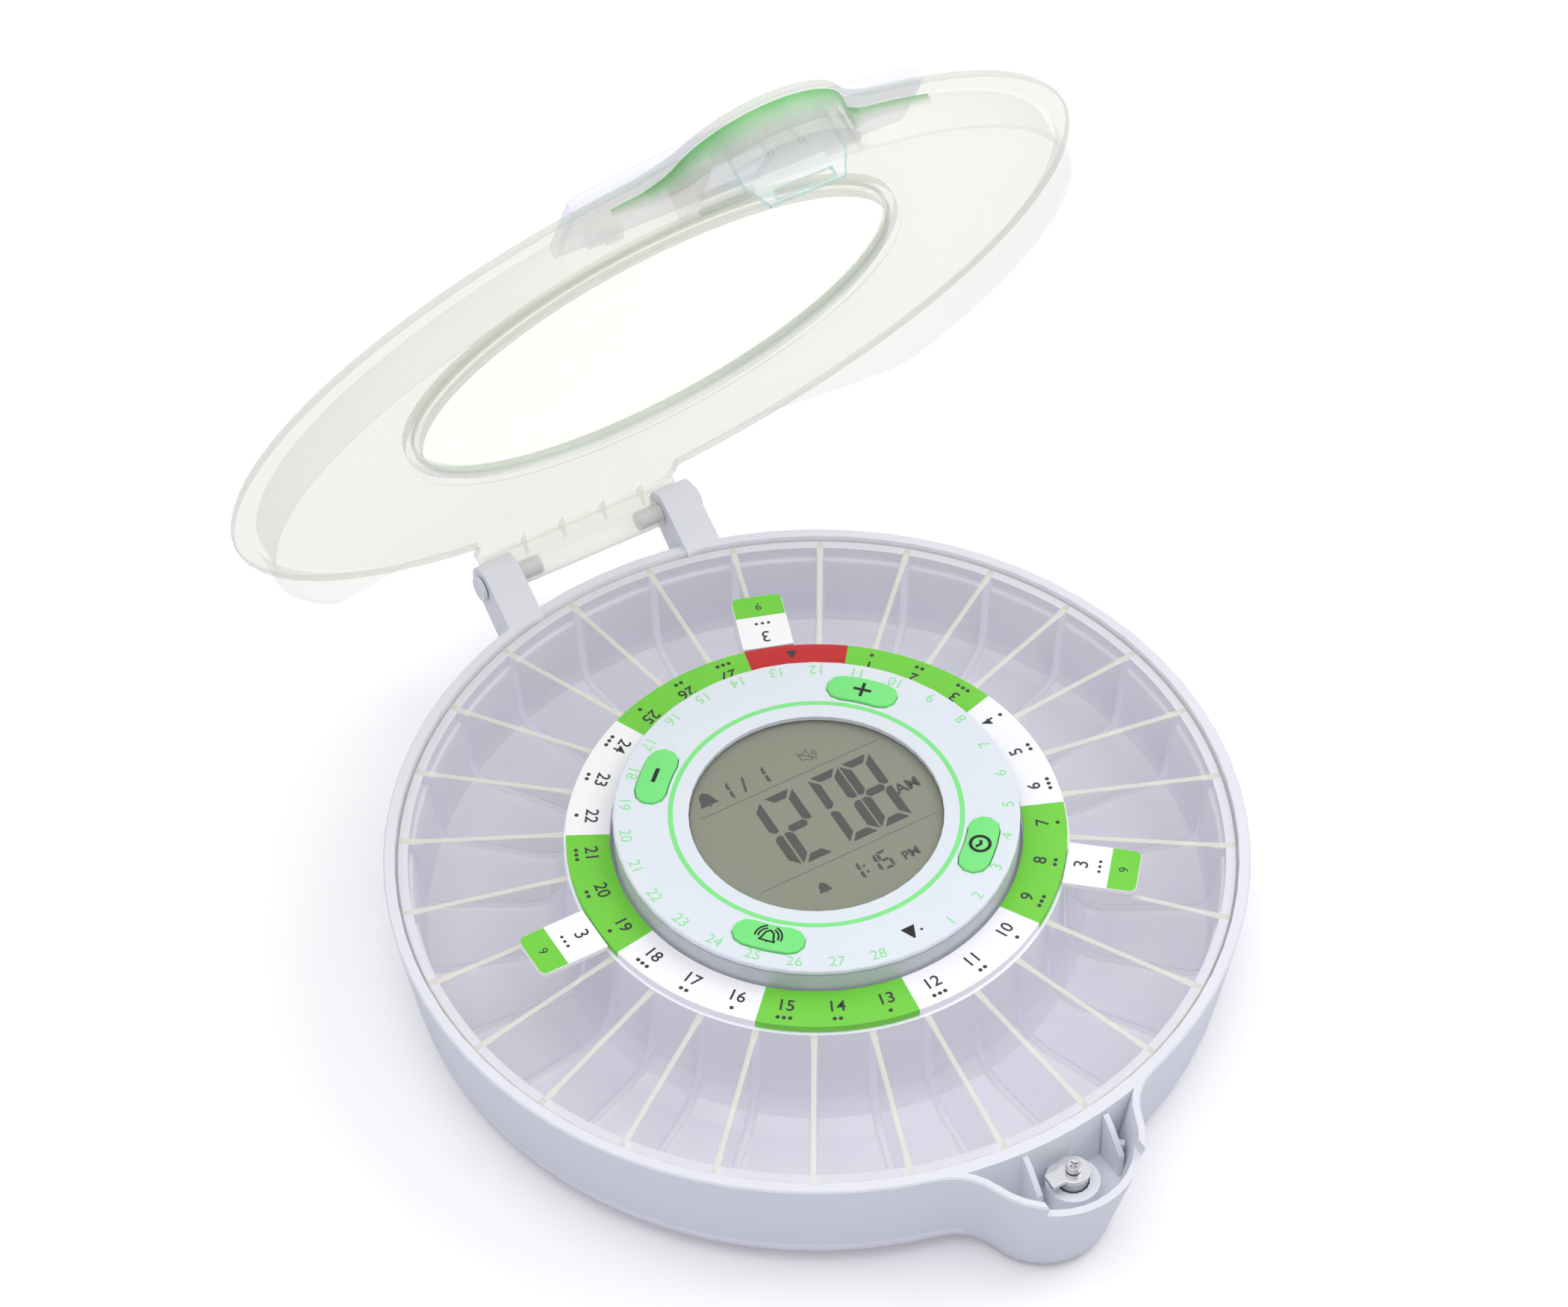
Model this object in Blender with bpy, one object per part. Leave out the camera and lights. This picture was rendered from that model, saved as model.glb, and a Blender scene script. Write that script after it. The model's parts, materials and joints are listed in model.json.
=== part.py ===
"""Electronic pill box: a round base with a turning tray of 28 compartments and an open lid.

Lengths are in metres. The lock is at -Y, the hinge is at +Y and Z is up. The flat underside of
the base is at Z = 0. The lid is modelled closed and then swung open about its hinge.
"""

import math

import bmesh
import bpy
from mathutils import Matrix
from mathutils import Vector

# Shared clearances
FIT_GAP = 0.0003
CUT_OVERRUN = 0.001
EMBED = 0.0004
MERGE_THRESHOLD = 0.00001
SMOOTH_ANGLE = math.radians(32.0)

# Facets
MAIN_STEPS = 64
FILLET_STEPS = 5
LUG_STEPS = 14
BIG_STEPS = 72
PLUG_STEPS = 96
MEDIUM_STEPS = 48
SMALL_STEPS = 16
TINY_STEPS = 12

# Base shell: height, body radius, lug front, lug radius and hollow fillet radius at each level
RIM_HEIGHT = 0.0330
RIM_EDGE = 0.0005
BASE_LEVELS = (
    (0.0000, 0.0913, 0.1134, 0.0150, 0.0140),
    (0.0006, 0.0944, 0.1141, 0.0156, 0.0140),
    (0.0023, 0.0969, 0.1148, 0.0163, 0.0140),
    (0.0045, 0.0985, 0.1152, 0.0170, 0.0140),
    (0.0080, 0.0993, 0.1160, 0.0178, 0.0140),
    (RIM_HEIGHT - RIM_EDGE, 0.1030, 0.1227, 0.0210, 0.0140),
    (RIM_HEIGHT, 0.1026, 0.1223, 0.0206, 0.0144),
)
LUG_X = 0.0015
FLOOR_THICKNESS = 0.0030
WALL_TOP_RADIUS = 0.1003
WALL_LOW_RADIUS = 0.0969
WALL_LOW_HEIGHT = 0.0080
WALL_CORNER = ((0.0895, 0.0030), (0.0925, 0.0034), (0.0952, 0.0050))
CENTRE_WALL_OUTER = 0.0515
CENTRE_WALL_THICKNESS = 0.0020
CENTRE_WALL_INNER = CENTRE_WALL_OUTER - CENTRE_WALL_THICKNESS
CENTRE_WALL_TOP = 0.0315
TRACK_RADIUS = 0.0780
TRACK_HALF_WIDTH = 0.0010

# Lock lug
LUG_WALL = 0.0019
POCKET_FLOOR = 0.0170
POCKET_INNER_RADIUS = 0.1032
POCKET_FLOOR_THICKNESS = 0.0022
LUG_HOLLOW_RADIUS = 0.1010
NOTCH_LEFT = -0.0105
NOTCH_RIGHT = 0.0170
NOTCH_FLOOR = 0.0290
NOTCH_BACK = -0.1108
LOCK_X = 0.0024
LOCK_Y = -0.1089
BOSS_RADIUS = 0.0063
BOSS_TOP = 0.0233
RIB_HALF_THICKNESS = 0.0007
RIB_XS = (-0.0069, 0.0150)
RIB_PROFILE = ((-0.1026, 0.0166), (-0.1026, 0.0320), (-0.1052, 0.0300), (-0.1098, 0.0245), (-0.1098, 0.0166))
PARTITION_PLAN = ((0.0147, -0.1054), (0.0156, -0.1044), (0.0178, -0.1068), (0.0169, -0.1078))
PARTITION_TOP = 0.0250

# Lock barrel, cam and screw
BARREL_RADIUS = 0.0036
BARREL_BOTTOM = 0.0010
CAM_BOTTOM = 0.0260
CAM_THICKNESS = 0.0012
CAM_RADIUS = 0.0039
CAM_REACH = 0.0066
CAM_FINGER_HALF = 0.0019
KEY_SLOT_HALF_WIDTH = 0.0006
KEY_SLOT_HALF_LENGTH = 0.0024
KEY_SLOT_TOP = 0.0040
CAM_SCREW_HEAD_RADIUS = 0.0018
CAM_SCREW_HEAD_HEIGHT = 0.0016
CAM_SCREW_SHANK_RADIUS = 0.0010
CAM_SCREW_TIP = 0.0210
CROSS_HALF_LENGTH = 0.0010
CROSS_HALF_WIDTH = 0.0002
CROSS_DEPTH = 0.0007

# Hinge
HINGE_Y = 0.1115
HINGE_Z = 0.0355
LID_OPENING = math.radians(64.7)
EAR_RADIUS = 0.0054
EAR_INNER_X = 0.0206
EAR_OUTER_X = 0.0300
EAR_START = math.radians(118.0)
EAR_END = math.radians(-48.0)
EAR_FOOT = ((0.0956, 0.0175), (0.0974, 0.0328))
EAR_STEPS = 12
PIN_RADIUS = 0.0021
PIN_HEAD_RADIUS = 0.0033
PIN_HEAD_THICKNESS = 0.0010
PIN_TIP_X = 0.0142

# Feet and underside
FOOT_PLACES = ((0.062, 0.045), (-0.062, 0.045), (-0.062, -0.045), (0.062, -0.045))
FOOT_RADIUS = 0.0060
FOOT_DROP = 0.0012
FOOT_RECESS = 0.0013
THUMB_HALF_WIDTH = 0.0060
THUMB_DEPTH = 0.0014

# Battery bay
BATTERY_RADIUS = 0.00725
BATTERY_HALF_LENGTH = 0.0246
BATTERY_NUB_RADIUS = 0.0027
BATTERY_NUB = 0.0006
BATTERY_SPACE = 0.0005
BATTERY_PITCH = BATTERY_RADIUS + BATTERY_RADIUS + BATTERY_SPACE
BATTERY_COUNT = 4
BAY_SIDE_GAP = 0.0012
BAY_END_GAP = 0.0024
BAY_HEADROOM = 0.0015
BAY_WALL = 0.0015
BAY_HALF_X = BATTERY_PITCH * BATTERY_COUNT / 2.0 + BAY_SIDE_GAP
BAY_HALF_Y = BATTERY_HALF_LENGTH + BATTERY_NUB + BAY_END_GAP
BAY_CEILING = FLOOR_THICKNESS + BATTERY_RADIUS + BATTERY_RADIUS + BAY_HEADROOM
THUMB_LENGTH = 0.0059
THUMB_REACH = BAY_HALF_Y + THUMB_LENGTH
DOOR_AXIS_INSET = 0.0018
DOOR_AXIS_Y = DOOR_AXIS_INSET - BAY_HALF_Y
DOOR_PIN_RADIUS = 0.0008
DOOR_PIN_LENGTH = 0.0017
CONTACT_THICKNESS = 0.0006
CONTACT_SIDE_GAP = 0.0017
CONTACT_TOP_GAP = 0.0030
CONTACT_HALF_X = BAY_HALF_X - CONTACT_SIDE_GAP
CONTACT_BOTTOM = 0.0050
CONTACT_TOP = BAY_CEILING - CONTACT_TOP_GAP
CONTACT_BUMP_RADIUS = 0.0028
CONTACT_BUMP = 0.0008

# Drive
DRIVE_Y = 0.0450
GEAR_MODULE = 0.0015
RING_TEETH = 72
PINION_TEETH = 12
PINION_ADDENDUM = 0.0010
RING_ADDENDUM = 0.0012
GEAR_DEDENDUM = 0.0017
PINION_HALF_TOOTH = 0.0009
RING_HALF_SPACE = 0.00125
TOOTH_SLOPE = 0.364
RING_GEAR_BOTTOM = 0.0200
RING_GEAR_OUTER = 0.0575
RING_GEAR_TOP = 0.0255
PINION_BOTTOM = 0.0200
PINION_TOP = 0.0250
PINION_SHAFT_RADIUS = 0.0015
PINION_SHAFT_BOTTOM = 0.0160
PINION_HUB_RADIUS = 0.0030
PINION_BORE = 0.0018
GEARBOX_HALF_X = 0.0110
GEARBOX_GAP = 0.0014
GEARBOX_MARGIN = 0.0025
GEARBOX_FRONT = BAY_HALF_Y + BAY_WALL + GEARBOX_GAP
GEARBOX_BACK = DRIVE_Y + GEARBOX_MARGIN
GEARBOX_TOP = 0.0187
MOTOR_SHARE = 0.3412
MOTOR_STEP = 0.0005
MOTOR_END_GAP = 0.0012
MOTOR_RADIUS = (GEARBOX_BACK - GEARBOX_FRONT) * MOTOR_SHARE
MOTOR_Y = GEARBOX_FRONT + MOTOR_RADIUS + MOTOR_STEP
MOTOR_Z = 0.0100
MOTOR_START = GEARBOX_HALF_X - CUT_OVERRUN
MOTOR_END = math.sqrt(CENTRE_WALL_INNER ** 2 - (MOTOR_Y + MOTOR_RADIUS) ** 2) - MOTOR_END_GAP
WINDOW_HALF_X = 0.0118
WINDOW_LOW = 0.0192
WINDOW_HIGH = 0.0262

# Posts that hold the module
POST_RADIUS = 0.0032
POST_RING = 0.0455
POST_ANGLES = (20.0, 160.0, 200.0, 340.0)
POST_TOP = 0.0313
POST_BORE = 0.0016
COUNTERBORE_RADIUS = 0.0029
COUNTERBORE_DEPTH = 0.0022
BODY_SCREW_SHANK = 0.0012
BODY_SCREW_HEAD = 0.0026
BODY_SCREW_HEAD_LOW = 0.0004
BODY_SCREW_HEAD_TOP = 0.0019
BODY_SCREW_TIP = 0.0334
MODULE_POST_RADIUS = 0.0027
MODULE_POST_BORE = 0.0015

# Tray
SLOT_COUNT = 28
SLOT_TURN = math.radians(0.8)
DIVIDER_HALF = 0.0007
TRAY_BOTTOM = 0.0064
TRAY_FLOOR = 0.0080
TRAY_OUTER_TOP = 0.09874
TRAY_OUTER_LOW = 0.0960
TRAY_RIM_HEIGHT = 0.03193
TRAY_RIM_INNER = 0.09714
TRAY_HUB_INNER = 0.0580
TRAY_HUB_OUTER = 0.0600
TRAY_SHELF_LOW = 0.0333
TRAY_STEP_HEIGHT = 0.0349
TRAY_STEP_RADIUS = 0.0540
TRAY_SHELF_TOP = 0.0360
TRAY_SHELF_INNER = 0.0490
TRAY_CORNER = ((0.0942, 0.0064), (0.0954, 0.0069))
TRAY_STEPS = 56
POCKET_TOP = 0.0375
POCKET_PROFILE = (
    (0.0606, 0.0190),
    (0.0616, 0.0136),
    (0.0646, 0.0096),
    (0.0690, 0.0080),
    (0.0910, 0.0080),
    (0.0938, 0.0092),
    (0.0948, 0.0120),
    (0.0961, 0.0282),
    (0.09714, 0.0286),
)
POCKET_STATIONS = 3

# Dial ring and its tabs
DIAL_INNER = 0.0490
DIAL_OUTER = 0.0594
DIAL_LIP_LOW = 0.0352
DIAL_LIP_RADIUS = 0.0543
DIAL_BOTTOM = 0.0363
DIAL_TOP = 0.0373
TAB_ANGLES = (70.5, -41.0, 179.5)
TAB_HALF_WIDTH = 0.0063
TAB_END = 0.0770
TAB_PLATE_LOW = 0.0359
TAB_TONGUE_START = 0.0553
TAB_TONGUE_END = 0.0620
TAB_TONGUE_TOP = 0.0361
TAB_TONGUE_HALF = 0.0050
TAB_CORNER = 0.0020
TAB_CORNER_STEPS = 4

# Module
MODULE_RADIUS = 0.0482
MODULE_INNER = 0.0464
MODULE_FLANGE_RADIUS = 0.0515
MODULE_FLANGE_LOW = 0.0318
MODULE_FLANGE_TOP = 0.0330
MODULE_LEDGE_RADIUS = 0.0426
MODULE_LEDGE_LOW = 0.0342
MODULE_LEDGE_TOP = 0.0357
MODULE_WALL_TOP = 0.0417
PCB_RADIUS = 0.0461
PCB_LOW = 0.0360
PCB_TOP = 0.0376
PCB_SCREW_RING = 0.0444
PCB_SCREW_ANGLES = (2.0, 92.0, 182.0, 272.0)
PCB_SCREW_HEAD = 0.0016
PCB_SCREW_SHANK = 0.0009
PCB_SCREW_HEAD_TOP = 0.0391
PCB_SCREW_TIP = 0.0346
PCB_HOLE = 0.0012
CHIP_LOW = (-0.0120, -0.0080)
CHIP_HIGH = (0.0040, 0.0060)
CHIP_BOTTOM = 0.0342
CHIP_2_LOW = (0.0120, 0.0100)
CHIP_2_HIGH = (0.0220, 0.0180)
SWITCH_HALF = 0.0030
SWITCH_TOP = 0.0386
BUZZER_RADIUS = 0.0090
BUZZER_PLACE = (-0.0180, -0.0200)
BUZZER_LOW = 0.0300
BUZZER_HOLE_RADIUS = 0.0014
BUZZER_HOLE_TOP = 0.0330
LCD_RADIUS = 0.0320
LCD_TOP = 0.0414
FACE_LOW = 0.0420
FACE_TOP = 0.04343
FACE_EDGE = 0.0004
FACE_LIP_INNER = 0.0450
FACE_LIP_OUTER = 0.0461
FACE_LIP_LOW = 0.0396
GLASS_RADIUS = 0.0299
GLASS_TOP = 0.0431

# Buttons
BUTTON_ANGLES = (43.0, 133.0, -137.0, -46.0)
BUTTON_NAMES = ("button_plus", "button_minus", "button_bell", "button_clock")
BUTTON_RING = 0.0398
BUTTON_HALF_WIDTH = 0.0036
BUTTON_HALF_TURN = math.radians(7.1)
BUTTON_STEPS = 4
BUTTON_END_STEPS = 5
BUTTON_PROUD = 0.0006
BUTTON_FLANGE = 0.0009
BUTTON_FLANGE_LOW = 0.0409
BUTTON_FLANGE_TOP = 0.0417
BUTTON_STEM_RADIUS = 0.0015
BUTTON_STEM_LOW = 0.0395

# Lid, in its closed place
PLATE_LOW = 0.0428
PLATE_TOP = 0.0446
PLATE_RADIUS = 0.1078
PLATE_EDGE = 0.0004
PLATE_SIDE = 0.0006
CAP_REACH = 0.0162
CAP_FRONT = PLATE_RADIUS + CAP_REACH
CAP_RADIUS = 0.0215
CAP_FILLET = 0.0220
CAP_WALL_BODY_STEP = 0.0056
CAP_WALL_FRONT_STEP = 0.0014
CAP_WALL_LUG_STEP = 0.0010
CAP_WALL_FILLET = 0.0140
CAP_WALL_OUTLINE = (
    PLATE_RADIUS - CAP_WALL_BODY_STEP,
    CAP_FRONT - CAP_WALL_FRONT_STEP,
    CAP_RADIUS - CAP_WALL_LUG_STEP,
    CAP_WALL_FILLET,
)
CAP_WALL = 0.0014
CAP_WALL_START_STEP = 0.0052
CAP_WALL_START = PLATE_RADIUS - CAP_WALL_START_STEP
SKIRT_LOW = 0.03335
SKIRT_STEP = 0.0043
SKIRT_SLOPE = 0.0005
SKIRT_TOP_RADIUS = PLATE_RADIUS - SKIRT_STEP
SKIRT_LOW_RADIUS = SKIRT_TOP_RADIUS - SKIRT_SLOPE
SKIRT_THICKNESS = 0.0014
SKIRT_STEPS = 90
SKIRT_FULL = 50.0
SKIRT_END = 28.0
HINGE_HALF_WIDTH = 0.0285
HINGE_EDGE_Y = 0.1160
HINGE_EDGE_CORNER = 0.0060
HINGE_EDGE_STEPS = 5
LEAF_FRONT = 0.1106
LEAF_BACK = 0.1124
LEAF_HALF_WIDTH = 0.0198
LEAF_WIDE_LOW = 0.0413
LID_BARREL_RADIUS = 0.0033
LID_BARREL_HALF = 0.0200
LID_BARREL_BORE = 0.00245
GUSSET_XS = (-0.0166, -0.0058, 0.0058, 0.0166)
GUSSET_HALF = 0.0006
GUSSET_PROFILE = ((0.1040, 0.0430), (0.1040, 0.0419), (0.1084, 0.0386), (0.1108, 0.0383), (0.1108, 0.0430))
RISER_SHARE = 0.58905
RISER_THICKNESS = 0.0018
SEAT_WIDTH = 0.0012
RISER_OUTER = PLATE_RADIUS * RISER_SHARE
RISER_INNER = RISER_OUTER - RISER_THICKNESS
PANE_RADIUS = RISER_INNER - FIT_GAP
PANE_SEAT_RADIUS = PANE_RADIUS - SEAT_WIDTH
PANE_SEAT_LOW = 0.0426
RISER_TOP = 0.0468
SEAT_TOP = 0.0447
PANE_LOW = 0.0450
PANE_TOP = 0.0466
DOSE_HOLE_INNER = 0.0800
DOSE_HOLE_OUTER = 0.0985
DOSE_HOLE_HALF_TURN = math.radians(5.2)
DOSE_HOLE_STEPS = 4
DOSE_SLOT = ((-0.0039, -0.0725), (0.0093, -0.0700))

# Latch tongue and green insert, in their closed place
TONGUE_REACH = 0.0068
TONGUE_THICKNESS = 0.0014
TONGUE_FRONT = -PLATE_RADIUS - TONGUE_REACH
TONGUE_BACK = TONGUE_FRONT + TONGUE_THICKNESS
TONGUE_LEFT = -0.0104
TONGUE_RIGHT = 0.0146
TONGUE_BOTTOM = 0.0244
TONGUE_CORNER_WIDTH = 0.0034
TONGUE_CORNER_HEIGHT = 0.0061
TONGUE_SLOT_LOW = 0.0257
TONGUE_SLOT_HIGH = 0.0275
TONGUE_SLOT_LEFT = -0.0046
TONGUE_SLOT_RIGHT = 0.0092
TONGUE_FOOT_LOW = 0.0413
TONGUE_FOOT = 0.0088
TONGUE_FOOT_BACK = TONGUE_FRONT + TONGUE_FOOT
TONGUE_RIB_XS = (-0.0010, 0.0067)
TONGUE_RIB_HALF = 0.0005
TONGUE_RIB_LOW = 0.0340
TONGUE_RIB = 0.0051
TONGUE_RIB_BACK = TONGUE_FRONT + TONGUE_RIB
INSERT_INSET = 0.0018
INSERT_BAND = 0.0080
INSERT_THICKNESS = 0.0009
INSERT_STEP = 0.0026
INSERT_INNER_RADIUS = PLATE_RADIUS - INSERT_STEP

# Dose door, in its closed place
COVER_SETBACK = 0.0023
COVER_CLEARANCE = 0.0109
COVER_LEFT_SHARE = 0.3791
COVER_RIGHT_SHARE = 0.4455
COVER_RADIUS = PLATE_RADIUS - COVER_SETBACK
COVER_LEFT = -COVER_RADIUS * COVER_LEFT_SHARE
COVER_RIGHT = COVER_RADIUS * COVER_RIGHT_SHARE
COVER_BACK = -RISER_OUTER - COVER_CLEARANCE
COVER_LOW = 0.0449
COVER_TOP = 0.0482
COVER_THICKNESS = 0.0014
COVER_ARC_STEPS = 16
COVER_EDGE = 0.0006
KNUCKLE_STEP = 0.0022
KNUCKLE_Y = COVER_BACK + KNUCKLE_STEP
KNUCKLE_Z = 0.0467
KNUCKLE_RADIUS = 0.0019
KNUCKLE_LENGTH = 0.0040
KNUCKLE_LEFT_STEP = 0.0090
KNUCKLE_RIGHT_STEP = 0.0140
KNUCKLE_XS = (COVER_LEFT + KNUCKLE_LEFT_STEP, COVER_RIGHT - KNUCKLE_RIGHT_STEP)
POST_STEP = 0.0044
POST_KNUCKLE_XS = (KNUCKLE_XS[0] + POST_STEP, KNUCKLE_XS[1] - POST_STEP)
POST_REACH = 0.0039
POST_BACK = COVER_BACK + POST_REACH
COVER_PIN_RADIUS = 0.0008
COVER_PIN_BORE = 0.0011
WEB_LOW = 0.0461
WEB_REACH = 0.0016
WEB_BACK = COVER_BACK + WEB_REACH

# Colours and finishes: red, green, blue, roughness, metallic
FINISHES = {
    "lilac_abs": (0.70, 0.70, 0.78, 0.45, 0.0),
    "lilac_grey_abs": (0.60, 0.60, 0.70, 0.40, 0.0),
    "frosted_tray": (0.82, 0.82, 0.88, 0.30, 0.0),
    "clear_lid": (0.88, 0.90, 0.82, 0.25, 0.0),
    "clear_pane": (0.93, 0.94, 0.88, 0.12, 0.0),
    "clear_latch": (0.84, 0.92, 0.90, 0.15, 0.0),
    "green_insert": (0.25, 0.78, 0.30, 0.30, 0.0),
    "paper_ring": (0.93, 0.93, 0.95, 0.45, 0.0),
    "white_face": (0.90, 0.93, 0.97, 0.30, 0.0),
    "grey_body": (0.45, 0.46, 0.50, 0.40, 0.0),
    "mint_button": (0.25, 0.80, 0.30, 0.45, 0.0),
    "lcd_grey": (0.42, 0.42, 0.34, 0.35, 0.0),
    "clear_glass": (0.90, 0.92, 0.90, 0.08, 0.0),
    "chrome_steel": (0.80, 0.80, 0.80, 0.20, 1.0),
    "zinc_steel": (0.62, 0.62, 0.62, 0.35, 1.0),
    "nylon_gear": (0.88, 0.87, 0.82, 0.50, 0.0),
    "black_rubber": (0.06, 0.06, 0.06, 0.80, 0.0),
    "pcb_green": (0.05, 0.30, 0.12, 0.45, 0.0),
    "black_plastic": (0.05, 0.05, 0.05, 0.50, 0.0),
    "cell_wrap": (0.15, 0.25, 0.55, 0.35, 0.0),
}


def clear_scene():
    """Remove every object of the start scene."""
    for item in list(bpy.data.objects):
        bpy.data.objects.remove(item, do_unlink=True)


def make_material(name):
    """Principled material of one named finish."""
    red, green, blue, roughness, metallic = FINISHES[name]
    material = bpy.data.materials.get(name)
    if material is None:
        material = bpy.data.materials.new(name)
        material.use_nodes = True
        shader = material.node_tree.nodes["Principled BSDF"]
        shader.inputs["Base Color"].default_value = (red, green, blue, 1.0)
        shader.inputs["Roughness"].default_value = roughness
        shader.inputs["Metallic"].default_value = metallic
    return material


def mesh_object(name, vertices, faces):
    """Object from vertices and faces, with its normals turned outward."""
    mesh = bpy.data.meshes.new(name)
    mesh.from_pydata(vertices, [], faces)
    shape = bmesh.new()
    shape.from_mesh(mesh)
    bmesh.ops.recalc_face_normals(shape, faces=shape.faces)
    shape.to_mesh(mesh)
    shape.free()
    item = bpy.data.objects.new(name, mesh)
    bpy.context.scene.collection.objects.link(item)
    return item


def loft(name, rings):
    """Solid through rings of equal length, with a flat cap at each end."""
    count = len(rings[0])
    vertices = [point for ring in rings for point in ring]
    faces = [tuple(reversed(range(count)))]
    for level in range(len(rings) - 1):
        start = level * count
        for step in range(count):
            after = (step + 1) % count
            faces.append((start + step, start + after, start + count + after, start + count + step))
    start = (len(rings) - 1) * count
    faces.append(tuple(range(start, start + count)))
    return mesh_object(name, vertices, faces)


def swept_ring(name, sections):
    """Ring through closed sections, the last one joined to the first one."""
    count = len(sections[0])
    vertices = [point for section in sections for point in section]
    faces = []
    for place in range(len(sections)):
        start = place * count
        follow = ((place + 1) % len(sections)) * count
        for step in range(count):
            after = (step + 1) % count
            faces.append((start + step, start + after, follow + after, follow + step))
    return mesh_object(name, vertices, faces)


def polar(radius, angle):
    """Plan point at a radius and an angle."""
    return (radius * math.cos(angle), radius * math.sin(angle))


def circle(radius, steps, centre=(0.0, 0.0)):
    """Plan points of a circle."""
    points = [polar(radius, math.tau * step / steps) for step in range(steps)]
    return [(centre[0] + x, centre[1] + y) for x, y in points]


def arc(centre, radius, start, end, steps):
    """Plan points of an arc, both ends included."""
    turns = [start + (end - start) * step / steps for step in range(steps + 1)]
    points = [polar(radius, turn) for turn in turns]
    return [(centre[0] + x, centre[1] + y) for x, y in points]


def prism(name, outline, low, high):
    """Upright solid over a plan outline."""
    rings = [[(x, y, level) for x, y in outline] for level in (low, high)]
    return loft(name, rings)


def slab(name, outline, left, right):
    """Solid over an outline of Y and Z, from one X to another."""
    rings = [[(place, y, z) for y, z in outline] for place in (left, right)]
    return loft(name, rings)


def block(name, low, high):
    """Box between two corners."""
    outline = [(low[0], low[1]), (high[0], low[1]), (high[0], high[1]), (low[0], high[1])]
    return prism(name, outline, low[2], high[2])


def turned_solid(name, profile, steps, centre=(0.0, 0.0)):
    """Turned solid, closed by a disc at the first and at the last profile point."""
    rings = []
    for radius, level in profile:
        rings.append([(x, y, level) for x, y in circle(radius, steps, centre)])
    return loft(name, rings)


def turned_ring(name, profile, steps):
    """Turned ring from a closed profile that stays off the axis."""
    sections = []
    for step in range(steps):
        turn = math.tau * step / steps
        sections.append([(*polar(radius, turn), level) for radius, level in profile])
    return swept_ring(name, sections)


def rod_x(name, start, end, radius, place, steps):
    """Rod along X between two places, about a centre of Y and Z."""
    return slab(name, circle(radius, steps, place), start, end)


def combine(target, tool, operation):
    """Apply one Boolean step and drop the tool."""
    modifier = target.modifiers.new("combine", "BOOLEAN")
    modifier.operation = operation
    modifier.solver = "EXACT"
    modifier.object = tool
    graph = bpy.context.evaluated_depsgraph_get()
    mesh = bpy.data.meshes.new_from_object(target.evaluated_get(graph))
    target.modifiers.clear()
    target.data = mesh
    bpy.data.objects.remove(tool, do_unlink=True)
    return target


def cut(target, tool):
    """Take the tool away from the target."""
    return combine(target, tool, "DIFFERENCE")


def fuse(target, tool):
    """Join the tool to the target."""
    return combine(target, tool, "UNION")


def merged(name, items):
    """One object that holds the meshes of separate shapes."""
    shape = bmesh.new()
    for item in items:
        shape.from_mesh(item.data)
        bpy.data.objects.remove(item, do_unlink=True)
    mesh = bpy.data.meshes.new(name)
    shape.to_mesh(mesh)
    shape.free()
    result = bpy.data.objects.new(name, mesh)
    bpy.context.scene.collection.objects.link(result)
    return result


def finish(item, finish_name, pivot=(0.0, 0.0, 0.0), placing=None):
    """Clean the mesh, place it, set its origin on the pivot and give it its material."""
    shape = bmesh.new()
    shape.from_mesh(item.data)
    bmesh.ops.remove_doubles(shape, verts=shape.verts, dist=MERGE_THRESHOLD)
    shape.to_mesh(item.data)
    shape.free()
    origin = Vector(pivot)
    if placing is not None:
        item.data.transform(placing)
        origin = placing @ origin
    item.data.transform(Matrix.Translation(-origin))
    item.location = origin
    item.data.name = item.name
    item.data.materials.clear()
    item.data.materials.append(make_material(finish_name))
    item.data.shade_smooth()
    item.data.set_sharp_from_angle(angle=SMOOTH_ANGLE)
    return item


def open_place():
    """Placing that swings the closed lid open about its hinge."""
    hinge = Vector((0.0, HINGE_Y, HINGE_Z))
    turn = Matrix.Rotation(-LID_OPENING, 4, "X")
    return Matrix.Translation(hinge) @ turn @ Matrix.Translation(-hinge)


def lug_circles(radius, front, lug_radius, fillet, inset):
    """Radii and centres of the body, the lug and the hollow fillets, all moved inward."""
    body = radius - inset
    lug = lug_radius - inset
    hollow = fillet + inset
    centre = Vector((LUG_X, lug_radius - front))
    distance = centre.length
    along = ((body + hollow) ** 2 - (lug + hollow) ** 2 + distance ** 2) / (2.0 * distance)
    across = math.sqrt((body + hollow) ** 2 - along ** 2)
    forward = centre / distance
    side = Vector((-forward.y, forward.x))
    right = forward * along + side * across
    left = forward * along - side * across
    return body, lug, hollow, centre, right, left


def heading(vector):
    """Angle of a plan vector."""
    return math.atan2(vector.y, vector.x)


def hinge_edge(inset):
    """Plan points of the straight hinge edge of the lid plate, from +X to -X."""
    half = HINGE_HALF_WIDTH - inset
    corner = HINGE_EDGE_CORNER - inset
    back = HINGE_EDGE_Y - HINGE_EDGE_CORNER
    side = HINGE_HALF_WIDTH - HINGE_EDGE_CORNER
    right = arc((side, back), corner, 0.0, math.pi / 2.0, HINGE_EDGE_STEPS)
    left = [(-x, y) for x, y in reversed(right)]
    return [point for point in right + left if abs(point[0]) <= half]


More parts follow.
